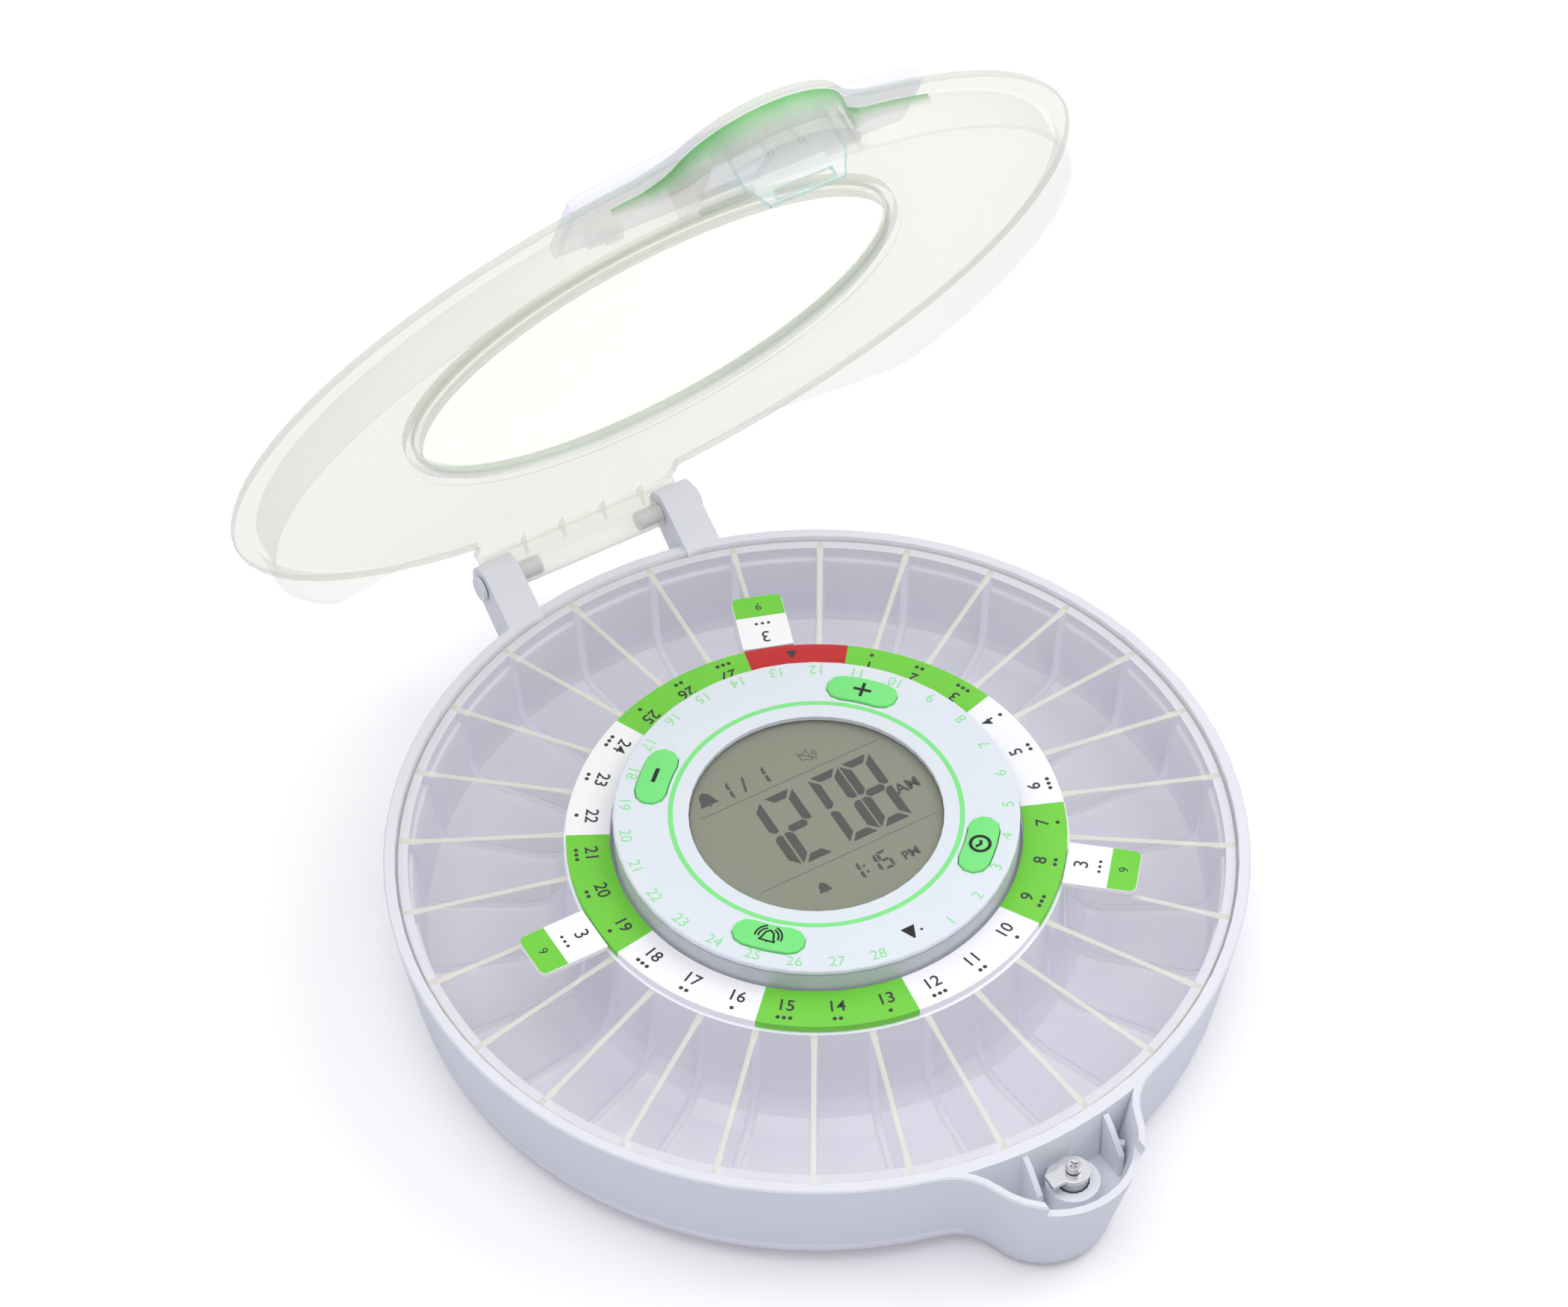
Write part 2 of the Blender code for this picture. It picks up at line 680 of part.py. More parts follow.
def lug_outline(radius, front, lug_radius, fillet, inset=0.0, with_hinge=False):
    """Plan outline of the round body with the lug at -Y."""
    body, lug, hollow, centre, right, left = lug_circles(radius, front, lug_radius, fillet, inset)
    start = heading(right)
    end = heading(left) + math.tau
    points = []
    if with_hinge:
        half = math.asin((HINGE_HALF_WIDTH - inset) / body)
        quarter = MAIN_STEPS // 2
        points += arc((0.0, 0.0), body, start, math.pi / 2.0 - half, quarter)
        points += hinge_edge(inset)
        points += arc((0.0, 0.0), body, math.pi / 2.0 + half, end, quarter)
    else:
        points += arc((0.0, 0.0), body, start, end, MAIN_STEPS)
    points += fillet_points(left, hollow, -left, centre - left)[1:]
    from_turn = heading(left - centre)
    to_turn = heading(right - centre)
    if from_turn > to_turn:
        from_turn -= math.tau
    points += arc(centre, lug, from_turn, to_turn, LUG_STEPS)[1:]
    points += fillet_points(right, hollow, centre - right, -right)[1:-1]
    return points


def fillet_points(centre, radius, first, second):
    """Plan points of a hollow fillet between two directions, the short way round."""
    start = heading(first)
    end = heading(second)
    if end - start > math.pi:
        end -= math.tau
    if start - end > math.pi:
        end += math.tau
    return arc(centre, radius, start, end, FILLET_STEPS)


def base_outer():
    """Outside of the base, tapered and rounded at the bottom."""
    rings = []
    for level, radius, front, lug_radius, fillet in BASE_LEVELS:
        outline = lug_outline(radius, front, lug_radius, fillet)
        rings.append([(x, y, level) for x, y in outline])
    return loft("base_shell", rings)


def base_cavity():
    """Cutter for the inside of the base, with the centre wall and the tray track left standing."""
    inner = CENTRE_WALL_INNER
    track = FLOOR_THICKNESS + (TRAY_BOTTOM - FIT_GAP - FLOOR_THICKNESS)
    taper = (WALL_TOP_RADIUS - WALL_LOW_RADIUS) / (RIM_HEIGHT - WALL_LOW_HEIGHT)
    profile = [
        (inner, FLOOR_THICKNESS),
        (inner, CENTRE_WALL_TOP),
        (CENTRE_WALL_OUTER, CENTRE_WALL_TOP),
        (CENTRE_WALL_OUTER, FLOOR_THICKNESS),
        (TRACK_RADIUS - TRACK_HALF_WIDTH, FLOOR_THICKNESS),
        (TRACK_RADIUS - TRACK_HALF_WIDTH, track),
        (TRACK_RADIUS + TRACK_HALF_WIDTH, track),
        (TRACK_RADIUS + TRACK_HALF_WIDTH, FLOOR_THICKNESS),
        *WALL_CORNER,
        (WALL_LOW_RADIUS, WALL_LOW_HEIGHT),
        (WALL_TOP_RADIUS + taper * CUT_OVERRUN, RIM_HEIGHT + CUT_OVERRUN),
    ]
    return turned_solid("base_cavity", profile, BIG_STEPS)


def lug_core(low, high, inner_radius):
    """Inside of the lug between two heights and beyond a radius."""
    rings = []
    for level in (low, high):
        lower = BASE_LEVELS[4]
        upper = BASE_LEVELS[5]
        share = (level - lower[0]) / (upper[0] - lower[0])
        values = [a + (b - a) * share for a, b in zip(lower[1:], upper[1:])]
        outline = lug_outline(*values, inset=LUG_WALL)
        rings.append([(x, y, level) for x, y in outline])
    core = loft("lug_core", rings)
    plug = prism("lug_plug", circle(inner_radius, PLUG_STEPS), low - CUT_OVERRUN, high + CUT_OVERRUN)
    return cut(core, plug)


def add_lug_features(base):
    """Pocket, notch, ribs, partition and barrel boss of the lock lug."""
    cut(base, lug_core(POCKET_FLOOR, RIM_HEIGHT + CUT_OVERRUN, POCKET_INNER_RADIUS))
    low = (NOTCH_LEFT, -BASE_LEVELS[5][2] - CUT_OVERRUN, NOTCH_FLOOR)
    high = (NOTCH_RIGHT, NOTCH_BACK, RIM_HEIGHT + CUT_OVERRUN)
    cut(base, block("notch", low, high))
    hollow = lug_core(-CUT_OVERRUN, POCKET_FLOOR - POCKET_FLOOR_THICKNESS, LUG_HOLLOW_RADIUS)
    lock_place = (LOCK_X, LOCK_Y)
    sleeve = circle(BOSS_RADIUS, MEDIUM_STEPS, lock_place)
    cut(hollow, prism("sleeve", sleeve, -CUT_OVERRUN - CUT_OVERRUN, POCKET_FLOOR))
    cut(base, hollow)
    fuse(base, prism("boss", sleeve, POCKET_FLOOR - EMBED, BOSS_TOP))
    for place in RIB_XS:
        fuse(base, slab("rib", RIB_PROFILE, place - RIB_HALF_THICKNESS, place + RIB_HALF_THICKNESS))
    fuse(base, prism("partition", PARTITION_PLAN, POCKET_FLOOR - EMBED, PARTITION_TOP))
    bore = circle(BARREL_RADIUS + FIT_GAP, SMALL_STEPS, lock_place)
    cut(base, prism("bore", bore, -CUT_OVERRUN, BOSS_TOP + CUT_OVERRUN))


def ear_outline():
    """Side outline of a hinge ear, from the wall round the eye."""
    eye = arc((HINGE_Y, HINGE_Z), EAR_RADIUS, EAR_START, EAR_END, EAR_STEPS)
    return [EAR_FOOT[0], EAR_FOOT[1], *eye]


def add_ears(base):
    """Two hinge ears with their pin bores."""
    for side in (-1.0, 1.0):
        fuse(base, slab("ear", ear_outline(), side * EAR_INNER_X, side * EAR_OUTER_X))
        start = side * (EAR_INNER_X - CUT_OVERRUN)
        end = side * (EAR_OUTER_X + CUT_OVERRUN)
        cut(base, rod_x("eye", start, end, PIN_RADIUS + FIT_GAP, (HINGE_Y, HINGE_Z), SMALL_STEPS))


def add_battery_bay(base):
    """Bay for the cells, its door opening, pivot holes and thumb recess."""
    outer_x = BAY_HALF_X + BAY_WALL
    outer_y = BAY_HALF_Y + BAY_WALL
    low = (-outer_x, -outer_y, FLOOR_THICKNESS - EMBED)
    fuse(base, block("bay", low, (outer_x, outer_y, BAY_CEILING + BAY_WALL)))
    low = (-BAY_HALF_X, -BAY_HALF_Y, -CUT_OVERRUN)
    cut(base, block("bay_inside", low, (BAY_HALF_X, BAY_HALF_Y, BAY_CEILING)))
    reach = BAY_HALF_X + DOOR_PIN_LENGTH
    place = (DOOR_AXIS_Y, FLOOR_THICKNESS / 2.0)
    cut(base, rod_x("pivot", -reach, reach, DOOR_PIN_RADIUS + FIT_GAP, place, TINY_STEPS))
    low = (-THUMB_HALF_WIDTH, BAY_HALF_Y - CUT_OVERRUN, -CUT_OVERRUN)
    cut(base, block("thumb", low, (THUMB_HALF_WIDTH, THUMB_REACH, THUMB_DEPTH)))


def post_places():
    """Plan places of the posts that hold the module."""
    return [polar(POST_RING, math.radians(turn)) for turn in POST_ANGLES]


def add_posts(base):
    """Posts, screw bores, foot recesses and the pinion window."""
    bore_profile = [
        (COUNTERBORE_RADIUS, -CUT_OVERRUN),
        (COUNTERBORE_RADIUS, COUNTERBORE_DEPTH),
        (POST_BORE, COUNTERBORE_DEPTH),
        (POST_BORE, POST_TOP + CUT_OVERRUN),
    ]
    posts = []
    cutters = []
    for place in post_places():
        post = circle(POST_RADIUS, SMALL_STEPS, place)
        posts.append(prism("post", post, FLOOR_THICKNESS - EMBED, POST_TOP))
        cutters.append(turned_solid("bore", bore_profile, TINY_STEPS, place))
    for place in FOOT_PLACES:
        recess = circle(FOOT_RADIUS + FIT_GAP, SMALL_STEPS, place)
        cutters.append(prism("foot_recess", recess, -CUT_OVERRUN, FOOT_RECESS))
    fuse(base, merged("posts", posts))
    cut(base, merged("post_cutters", cutters))
    low = (-WINDOW_HALF_X, DRIVE_Y, WINDOW_LOW)
    high = (WINDOW_HALF_X, CENTRE_WALL_OUTER + CUT_OVERRUN, WINDOW_HIGH)
    cut(base, block("pinion_window", low, high))


def build_base():
    """Base shell with everything moulded to it."""
    base = base_outer()
    cut(base, base_cavity())
    add_lug_features(base)
    add_ears(base)
    add_battery_bay(base)
    add_posts(base)
    finish(base, "lilac_abs")


def build_feet():
    """Four rubber feet in their recesses."""
    for number, place in enumerate(FOOT_PLACES, start=1):
        edge = FIT_GAP
        profile = [
            (FOOT_RADIUS - edge, -FOOT_DROP),
            (FOOT_RADIUS, -FOOT_DROP + edge),
            (FOOT_RADIUS, FOOT_RECESS - FIT_GAP),
        ]
        foot = turned_solid(f"foot_{number}", profile, SMALL_STEPS, place)
        finish(foot, "black_rubber", (place[0], place[1], -FOOT_DROP))


def build_battery_door():
    """Battery door, rounded about its pivot so that it swings clear of the floor."""
    half_x = BAY_HALF_X - FIT_GAP
    radius = FLOOR_THICKNESS / 2.0
    front = BAY_HALF_Y - FIT_GAP
    rear = arc((DOOR_AXIS_Y, radius), radius, math.pi / 2.0, math.pi * 1.5, FILLET_STEPS + 1)
    outline = [*rear, (front, 0.0), (front, FLOOR_THICKNESS)]
    door = slab("battery_door", outline, -half_x, half_x)
    reach = BAY_HALF_X + DOOR_PIN_LENGTH - FIT_GAP
    pivot = (DOOR_AXIS_Y, radius)
    fuse(door, rod_x("door_pin", -reach, reach, DOOR_PIN_RADIUS, pivot, TINY_STEPS))
    finish(door, "lilac_abs", (0.0, DOOR_AXIS_Y, radius))


def battery_xs():
    """Places of the cells across the bay."""
    middle = (BATTERY_COUNT - 1) / 2.0
    return [(number - middle) * BATTERY_PITCH for number in range(BATTERY_COUNT)]


def build_batteries():
    """Cells side by side, each second one turned round."""
    level = FLOOR_THICKNESS + FIT_GAP + BATTERY_RADIUS
    for number, place in enumerate(battery_xs()):
        way = 1.0 if number % 2 == 0 else -1.0
        rings = []
        for radius, along in (
            (BATTERY_RADIUS, -BATTERY_HALF_LENGTH),
            (BATTERY_RADIUS, BATTERY_HALF_LENGTH),
            (BATTERY_NUB_RADIUS, BATTERY_HALF_LENGTH),
            (BATTERY_NUB_RADIUS, BATTERY_HALF_LENGTH + BATTERY_NUB),
        ):
            section = circle(radius, SMALL_STEPS, (place, level))
            rings.append([(x, way * along, z) for x, z in section])
        cell = loft(f"battery_{number + 1}", rings)
        finish(cell, "cell_wrap", (place, 0.0, level))


def build_contacts():
    """Contact strips at both ends of the cells."""
    level = FLOOR_THICKNESS + FIT_GAP + BATTERY_RADIUS
    outer = BAY_HALF_Y - FIT_GAP
    inner = outer - CONTACT_THICKNESS
    for name, way in (("battery_contacts_front", -1.0), ("battery_contacts_rear", 1.0)):
        rings = [
            [(-CONTACT_HALF_X, way * y, CONTACT_BOTTOM), (CONTACT_HALF_X, way * y, CONTACT_BOTTOM),
             (CONTACT_HALF_X, way * y, CONTACT_TOP), (-CONTACT_HALF_X, way * y, CONTACT_TOP)]
            for y in (inner, outer)
        ]
        strip = loft(name, rings)
        for place in battery_xs():
            bump = circle(CONTACT_BUMP_RADIUS, TINY_STEPS, (place, level))
            ends = (inner - CONTACT_BUMP, inner + CONTACT_THICKNESS / 2.0)
            fuse(strip, loft("bump", [[(x, way * y, z) for x, z in bump] for y in ends]))
        finish(strip, "zinc_steel", (0.0, way * inner, level))


def tooth_outline(count, tip, root, half_tip, half_root, centre, turn):
    """Plan outline of a wheel whose teeth are symmetric trapezoids."""
    points = []
    for number in range(count):
        middle = turn + math.tau * number / count
        for radius, half in ((root, -half_root), (tip, -half_tip), (tip, half_tip), (root, half_root)):
            x, y = polar(radius, middle + half / radius)
            points.append((centre[0] + x, centre[1] + y))
    return points


def build_pinion():
    """Drive pinion on the shaft of the gearmotor."""
    pitch = GEAR_MODULE * PINION_TEETH / 2.0
    tip = pitch + PINION_ADDENDUM
    root = pitch - GEAR_DEDENDUM
    half_tip = PINION_HALF_TOOTH - PINION_ADDENDUM * TOOTH_SLOPE
    half_root = PINION_HALF_TOOTH + GEAR_DEDENDUM * TOOTH_SLOPE
    centre = (0.0, DRIVE_Y)
    turn = math.pi / 2.0
    outline = tooth_outline(PINION_TEETH, tip, root, half_tip, half_root, centre, turn)
    pinion = prism("drive_pinion", outline, PINION_BOTTOM, PINION_TOP)
    shaft = [
        (PINION_SHAFT_RADIUS, PINION_SHAFT_BOTTOM),
        (PINION_SHAFT_RADIUS, GEARBOX_TOP + FIT_GAP),
        (PINION_HUB_RADIUS, GEARBOX_TOP + FIT_GAP),
        (PINION_HUB_RADIUS, PINION_BOTTOM + EMBED),
    ]
    fuse(pinion, turned_solid("shaft", shaft, TINY_STEPS, centre))
    finish(pinion, "nylon_gear", (0.0, DRIVE_Y, PINION_BOTTOM))


def build_tray_gear():
    """Internal ring gear under the hub of the tray."""
    pitch = GEAR_MODULE * RING_TEETH / 2.0
    outer = circle(RING_GEAR_OUTER, BIG_STEPS)
    ring = prism("tray_gear_ring", outer, RING_GEAR_BOTTOM, RING_GEAR_TOP)
    half_tip = RING_HALF_SPACE - GEAR_DEDENDUM * TOOTH_SLOPE
    half_root = RING_HALF_SPACE + RING_ADDENDUM * TOOTH_SLOPE
    tip = pitch + GEAR_DEDENDUM
    root = pitch - RING_ADDENDUM
    outline = tooth_outline(RING_TEETH, tip, root, half_tip, half_root, (0.0, 0.0), math.pi / 2.0)
    low = RING_GEAR_BOTTOM - CUT_OVERRUN
    cut(ring, prism("gear_space", outline, low, RING_GEAR_TOP + CUT_OVERRUN))
    finish(ring, "nylon_gear")


def build_gearmotor():
    """Gearbox with its motor can."""
    low = (-GEARBOX_HALF_X, GEARBOX_FRONT, FLOOR_THICKNESS + FIT_GAP)
    gearbox = block("gearmotor", low, (GEARBOX_HALF_X, GEARBOX_BACK, GEARBOX_TOP))
    can = rod_x("can", MOTOR_START, MOTOR_END, MOTOR_RADIUS, (MOTOR_Y, MOTOR_Z), SMALL_STEPS)
    fuse(gearbox, can)
    bore = circle(PINION_BORE, TINY_STEPS, (0.0, DRIVE_Y))
    cut(gearbox, prism("bore", bore, PINION_SHAFT_BOTTOM - FIT_GAP, GEARBOX_TOP + CUT_OVERRUN))
    finish(gearbox, "black_plastic", (0.0, DRIVE_Y, GEARBOX_TOP))


def pocket_cutter(middle):
    """Cutter for one compartment, with even dividers on both sides."""
    profile = [(TRAY_HUB_OUTER, POCKET_TOP), *POCKET_PROFILE, (TRAY_RIM_INNER, POCKET_TOP)]
    slot = math.pi / SLOT_COUNT
    sections = []
    for station in range(POCKET_STATIONS):
        share = 2.0 * station / (POCKET_STATIONS - 1) - 1.0
        section = []
        for radius, level in profile:
            half = slot - math.asin(DIVIDER_HALF / radius)
            section.append((*polar(radius, middle + share * half), level))
        sections.append(section)
    return loft("pocket", sections)


def slot_angle(number):
    """Angle of the middle of a compartment, the first one at the lock."""
    return -math.pi / 2.0 + SLOT_TURN + math.tau * number / SLOT_COUNT


def build_tray():
    """Turning tray with its ring of compartments and its hub."""
    profile = [
        (TRAY_HUB_INNER, TRAY_BOTTOM),
        *TRAY_CORNER,
        (TRAY_OUTER_LOW, TRAY_FLOOR),
        (TRAY_OUTER_TOP, TRAY_RIM_HEIGHT),
        (TRAY_RIM_INNER, TRAY_RIM_HEIGHT),
        (TRAY_HUB_OUTER, TRAY_STEP_HEIGHT),
        (TRAY_STEP_RADIUS, TRAY_STEP_HEIGHT),
        (TRAY_STEP_RADIUS, TRAY_SHELF_TOP),
        (TRAY_SHELF_INNER, TRAY_SHELF_TOP),
        (TRAY_SHELF_INNER, TRAY_SHELF_LOW),
        (TRAY_HUB_INNER, TRAY_SHELF_LOW),
    ]
    tray = turned_ring("tray", profile, TRAY_STEPS)
    pockets = [pocket_cutter(slot_angle(number)) for number in range(SLOT_COUNT)]
    cut(tray, merged("pockets", pockets))
    finish(tray, "frosted_tray")


def turned_about(angle):
    """Placing that turns a shape made along +X to an angle."""
    return Matrix.Rotation(angle, 4, "Z")


def build_dial_ring():
    """Printed ring on the hub, with a recess under it for each tab."""
    profile = [
        (DIAL_INNER, DIAL_BOTTOM),
        (DIAL_LIP_RADIUS, DIAL_BOTTOM),
        (DIAL_LIP_RADIUS, DIAL_LIP_LOW),
        (DIAL_OUTER, DIAL_LIP_LOW),
        (DIAL_OUTER, DIAL_TOP),
        (DIAL_INNER, DIAL_TOP),
    ]
    ring = turned_ring("dial_ring", profile, MEDIUM_STEPS)
    half = TAB_TONGUE_HALF + FIT_GAP
    for angle in TAB_ANGLES:
        low = (TAB_TONGUE_START - FIT_GAP, -half, DIAL_LIP_LOW - CUT_OVERRUN)
        high = (DIAL_OUTER + CUT_OVERRUN, half, TAB_TONGUE_TOP + FIT_GAP)
        recess = block("tab_recess", low, high)
        recess.data.transform(turned_about(math.radians(angle)))
        cut(ring, recess)
    finish(ring, "paper_ring")


def tab_outline():
    """Plan outline of a tab along +X, with rounded outer corners."""
    start = DIAL_OUTER + FIT_GAP
    side = TAB_HALF_WIDTH - TAB_CORNER
    end = TAB_END - TAB_CORNER
    lower = arc((end, -side), TAB_CORNER, -math.pi / 2.0, 0.0, TAB_CORNER_STEPS)
    upper = arc((end, side), TAB_CORNER, 0.0, math.pi / 2.0, TAB_CORNER_STEPS)
    return [(start, -TAB_HALF_WIDTH), *lower, *upper, (start, TAB_HALF_WIDTH)]


def build_tabs():
    """Three tabs that stand out from the dial ring over the compartments."""
    for number, angle in enumerate(TAB_ANGLES, start=1):
        tab = prism(f"dial_tab_{number}", tab_outline(), TAB_PLATE_LOW, DIAL_TOP)
        low = (TAB_TONGUE_START, -TAB_TONGUE_HALF, DIAL_LIP_LOW)
        tongue = block("tongue", low, (TAB_TONGUE_END, TAB_TONGUE_HALF, TAB_TONGUE_TOP))
        fuse(tab, tongue)
        tab.data.transform(turned_about(math.radians(angle)))
        finish(tab, "paper_ring")


def build_module_body():
    """Grey body of the module with its ledge, flange and screw posts."""
    profile = [
        (MODULE_INNER, MODULE_FLANGE_LOW),
        (MODULE_FLANGE_RADIUS, MODULE_FLANGE_LOW),
        (MODULE_FLANGE_RADIUS, MODULE_FLANGE_TOP),
        (MODULE_RADIUS, MODULE_FLANGE_TOP),
        (MODULE_RADIUS, MODULE_WALL_TOP),
        (MODULE_INNER, MODULE_WALL_TOP),
        (MODULE_INNER, MODULE_LEDGE_TOP),
        (MODULE_LEDGE_RADIUS, MODULE_LEDGE_TOP),
        (MODULE_LEDGE_RADIUS, MODULE_LEDGE_LOW),
        (MODULE_INNER, MODULE_LEDGE_LOW),
    ]
    body = turned_ring("module_body", profile, MEDIUM_STEPS)
    for place in post_places():
        post = circle(MODULE_POST_RADIUS, TINY_STEPS, place)
        fuse(body, prism("module_post", post, MODULE_FLANGE_LOW, MODULE_LEDGE_LOW + EMBED))
        bore = circle(MODULE_POST_BORE, TINY_STEPS, place)
        cut(body, prism("post_bore", bore, MODULE_FLANGE_LOW - CUT_OVERRUN, MODULE_LEDGE_LOW))
    for place in pcb_screw_places():
        hole = circle(PCB_HOLE, TINY_STEPS, place)
        low = MODULE_LEDGE_LOW - CUT_OVERRUN
        cut(body, prism("ledge_hole", hole, low, MODULE_LEDGE_TOP + CUT_OVERRUN))
    finish(body, "grey_body")


def pcb_screw_places():
    """Plan places of the circuit board screws."""
    return [polar(PCB_SCREW_RING, math.radians(turn)) for turn in PCB_SCREW_ANGLES]


def build_pcb():
    """Circuit board with chips and one tact switch under each button."""
    board = prism("circuit_board", circle(PCB_RADIUS, MEDIUM_STEPS), PCB_LOW, PCB_TOP)
    for angle in BUTTON_ANGLES:
        x, y = polar(BUTTON_RING, math.radians(angle))
        low = (x - SWITCH_HALF, y - SWITCH_HALF, PCB_TOP - EMBED)
        fuse(board, block("switch", low, (x + SWITCH_HALF, y + SWITCH_HALF, SWITCH_TOP)))
    for low, high in ((CHIP_LOW, CHIP_HIGH), (CHIP_2_LOW, CHIP_2_HIGH)):
        fuse(board, block("chip", (*low, CHIP_BOTTOM), (*high, PCB_LOW + EMBED)))
    for place in pcb_screw_places():
        hole = circle(PCB_HOLE, TINY_STEPS, place)
        cut(board, prism("board_hole", hole, PCB_LOW - CUT_OVERRUN, PCB_TOP + CUT_OVERRUN))
    finish(board, "pcb_green")


def build_buzzer():
    """Round buzzer with its sound hole, under the circuit board."""
    outline = circle(BUZZER_RADIUS, SMALL_STEPS, BUZZER_PLACE)
    buzzer = prism("buzzer", outline, BUZZER_LOW, PCB_LOW - FIT_GAP)
    hole = circle(BUZZER_HOLE_RADIUS, TINY_STEPS, BUZZER_PLACE)
    cut(buzzer, prism("sound_hole", hole, BUZZER_LOW - CUT_OVERRUN, BUZZER_HOLE_TOP))
    finish(buzzer, "black_plastic", (*BUZZER_PLACE, BUZZER_LOW))


def make_screw(name, place, radii, heights, cross_end=None):
    """Screw from its tip over its seat to its head, with a cross slot where its depth is given."""
    shank_radius, head_radius = radii
    tip, seat, head_end = heights
    profile = [
        (shank_radius, tip),
        (shank_radius, seat),
        (head_radius, seat),
        (head_radius, head_end),
    ]
    screw = turned_solid(name, profile, TINY_STEPS, place)
    if cross_end is None:
        return screw
    x, y = place
    beyond = head_end + (head_end - cross_end)
    low = min(cross_end, beyond)
    high = max(cross_end, beyond)
    for half_x, half_y in (
        (CROSS_HALF_LENGTH, CROSS_HALF_WIDTH),
        (CROSS_HALF_WIDTH, CROSS_HALF_LENGTH),
    ):
        cut(screw, block("slot", (x - half_x, y - half_y, low), (x + half_x, y + half_y, high)))
    return screw


def build_screws():
    """Screws of the circuit board and of the module."""
    radii = (PCB_SCREW_SHANK, PCB_SCREW_HEAD)
    heights = (PCB_SCREW_TIP, PCB_TOP + FIT_GAP, PCB_SCREW_HEAD_TOP)
    for number, place in enumerate(pcb_screw_places(), start=1):
        screw = make_screw(f"board_screw_{number}", place, radii, heights)
        finish(screw, "zinc_steel", (*place, PCB_SCREW_HEAD_TOP))
    radii = (BODY_SCREW_SHANK, BODY_SCREW_HEAD)
    heights = (BODY_SCREW_TIP, BODY_SCREW_HEAD_TOP, BODY_SCREW_HEAD_LOW)
    cross_end = BODY_SCREW_HEAD_LOW + CROSS_DEPTH
    for number, place in enumerate(post_places(), start=1):
        screw = make_screw(f"module_screw_{number}", place, radii, heights, cross_end)
        finish(screw, "zinc_steel", (*place, BODY_SCREW_HEAD_LOW))


def button_outline(grow):
    """Plan outline of a curved button along +X, grown all round."""
    half = BUTTON_HALF_WIDTH + grow
    ring = BUTTON_RING
    turn = BUTTON_HALF_TURN
    outer = arc((0.0, 0.0), ring + half, -turn, turn, BUTTON_STEPS)
    upper = arc(polar(ring, turn), half, turn, turn + math.pi, BUTTON_END_STEPS)
    inner = arc((0.0, 0.0), ring - half, turn, -turn, BUTTON_STEPS)
    lower = arc(polar(ring, -turn), half, math.pi - turn, math.tau - turn, BUTTON_END_STEPS)
    return outer[:-1] + upper[:-1] + inner[:-1] + lower[:-1]


def build_face():
    """White face plate with its window and button openings."""
    profile = [
        (MODULE_RADIUS, FACE_LOW),
        (MODULE_RADIUS, FACE_TOP - FACE_EDGE),
        (MODULE_RADIUS - FACE_EDGE, FACE_TOP),
        (GLASS_RADIUS + FIT_GAP, FACE_TOP),
        (GLASS_RADIUS + FIT_GAP, FACE_LOW),
        (FACE_LIP_INNER, FACE_LOW),
        (FACE_LIP_INNER, FACE_LIP_LOW),
        (FACE_LIP_OUTER, FACE_LIP_LOW),
        (FACE_LIP_OUTER, FACE_LOW),
    ]
    face = turned_ring("face_plate", profile, MEDIUM_STEPS)
    for angle in BUTTON_ANGLES:
        opening = prism("opening", button_outline(FIT_GAP), FACE_LOW - CUT_OVERRUN, FACE_TOP + CUT_OVERRUN)
        opening.data.transform(turned_about(math.radians(angle)))
        cut(face, opening)
    finish(face, "white_face")


def build_buttons():
    """Four curved buttons, each with a flange and a stem over its switch."""
    for name, angle in zip(BUTTON_NAMES, BUTTON_ANGLES):
        button = prism(name, button_outline(0.0), BUTTON_FLANGE_TOP - EMBED, FACE_TOP + BUTTON_PROUD)
        flange = prism("flange", button_outline(BUTTON_FLANGE), BUTTON_FLANGE_LOW, BUTTON_FLANGE_TOP)
        fuse(button, flange)
        stem = circle(BUTTON_STEM_RADIUS, TINY_STEPS, (BUTTON_RING, 0.0))
        fuse(button, prism("stem", stem, BUTTON_STEM_LOW, BUTTON_FLANGE_LOW + EMBED))
        turn = math.radians(angle)
        button.data.transform(turned_about(turn))
        finish(button, "mint_button", (*polar(BUTTON_RING, turn), FACE_TOP))


def build_display():
    """Display block and its clear window."""
    display = prism("lcd_display", circle(LCD_RADIUS, SMALL_STEPS + SMALL_STEPS), PCB_TOP + FIT_GAP, LCD_TOP)
    finish(display, "lcd_grey")
    glass = prism("lcd_window", circle(GLASS_RADIUS, MEDIUM_STEPS), LCD_TOP + FIT_GAP, GLASS_TOP)
    finish(glass, "clear_glass")


def build_hinge_pins():
    """Pins through the ears into the barrel of the lid."""
    for name, side in (("hinge_pin_left", -1.0), ("hinge_pin_right", 1.0)):
        place = (HINGE_Y, HINGE_Z)
        face = EAR_OUTER_X + FIT_GAP
        pin = rod_x(name, side * PIN_TIP_X, side * (face + EMBED), PIN_RADIUS, place, SMALL_STEPS)
        end = side * (face + PIN_HEAD_THICKNESS)
        fuse(pin, rod_x("head", side * face, end, PIN_HEAD_RADIUS, place, SMALL_STEPS))
        finish(pin, "lilac_abs", (side * PIN_TIP_X, HINGE_Y, HINGE_Z))


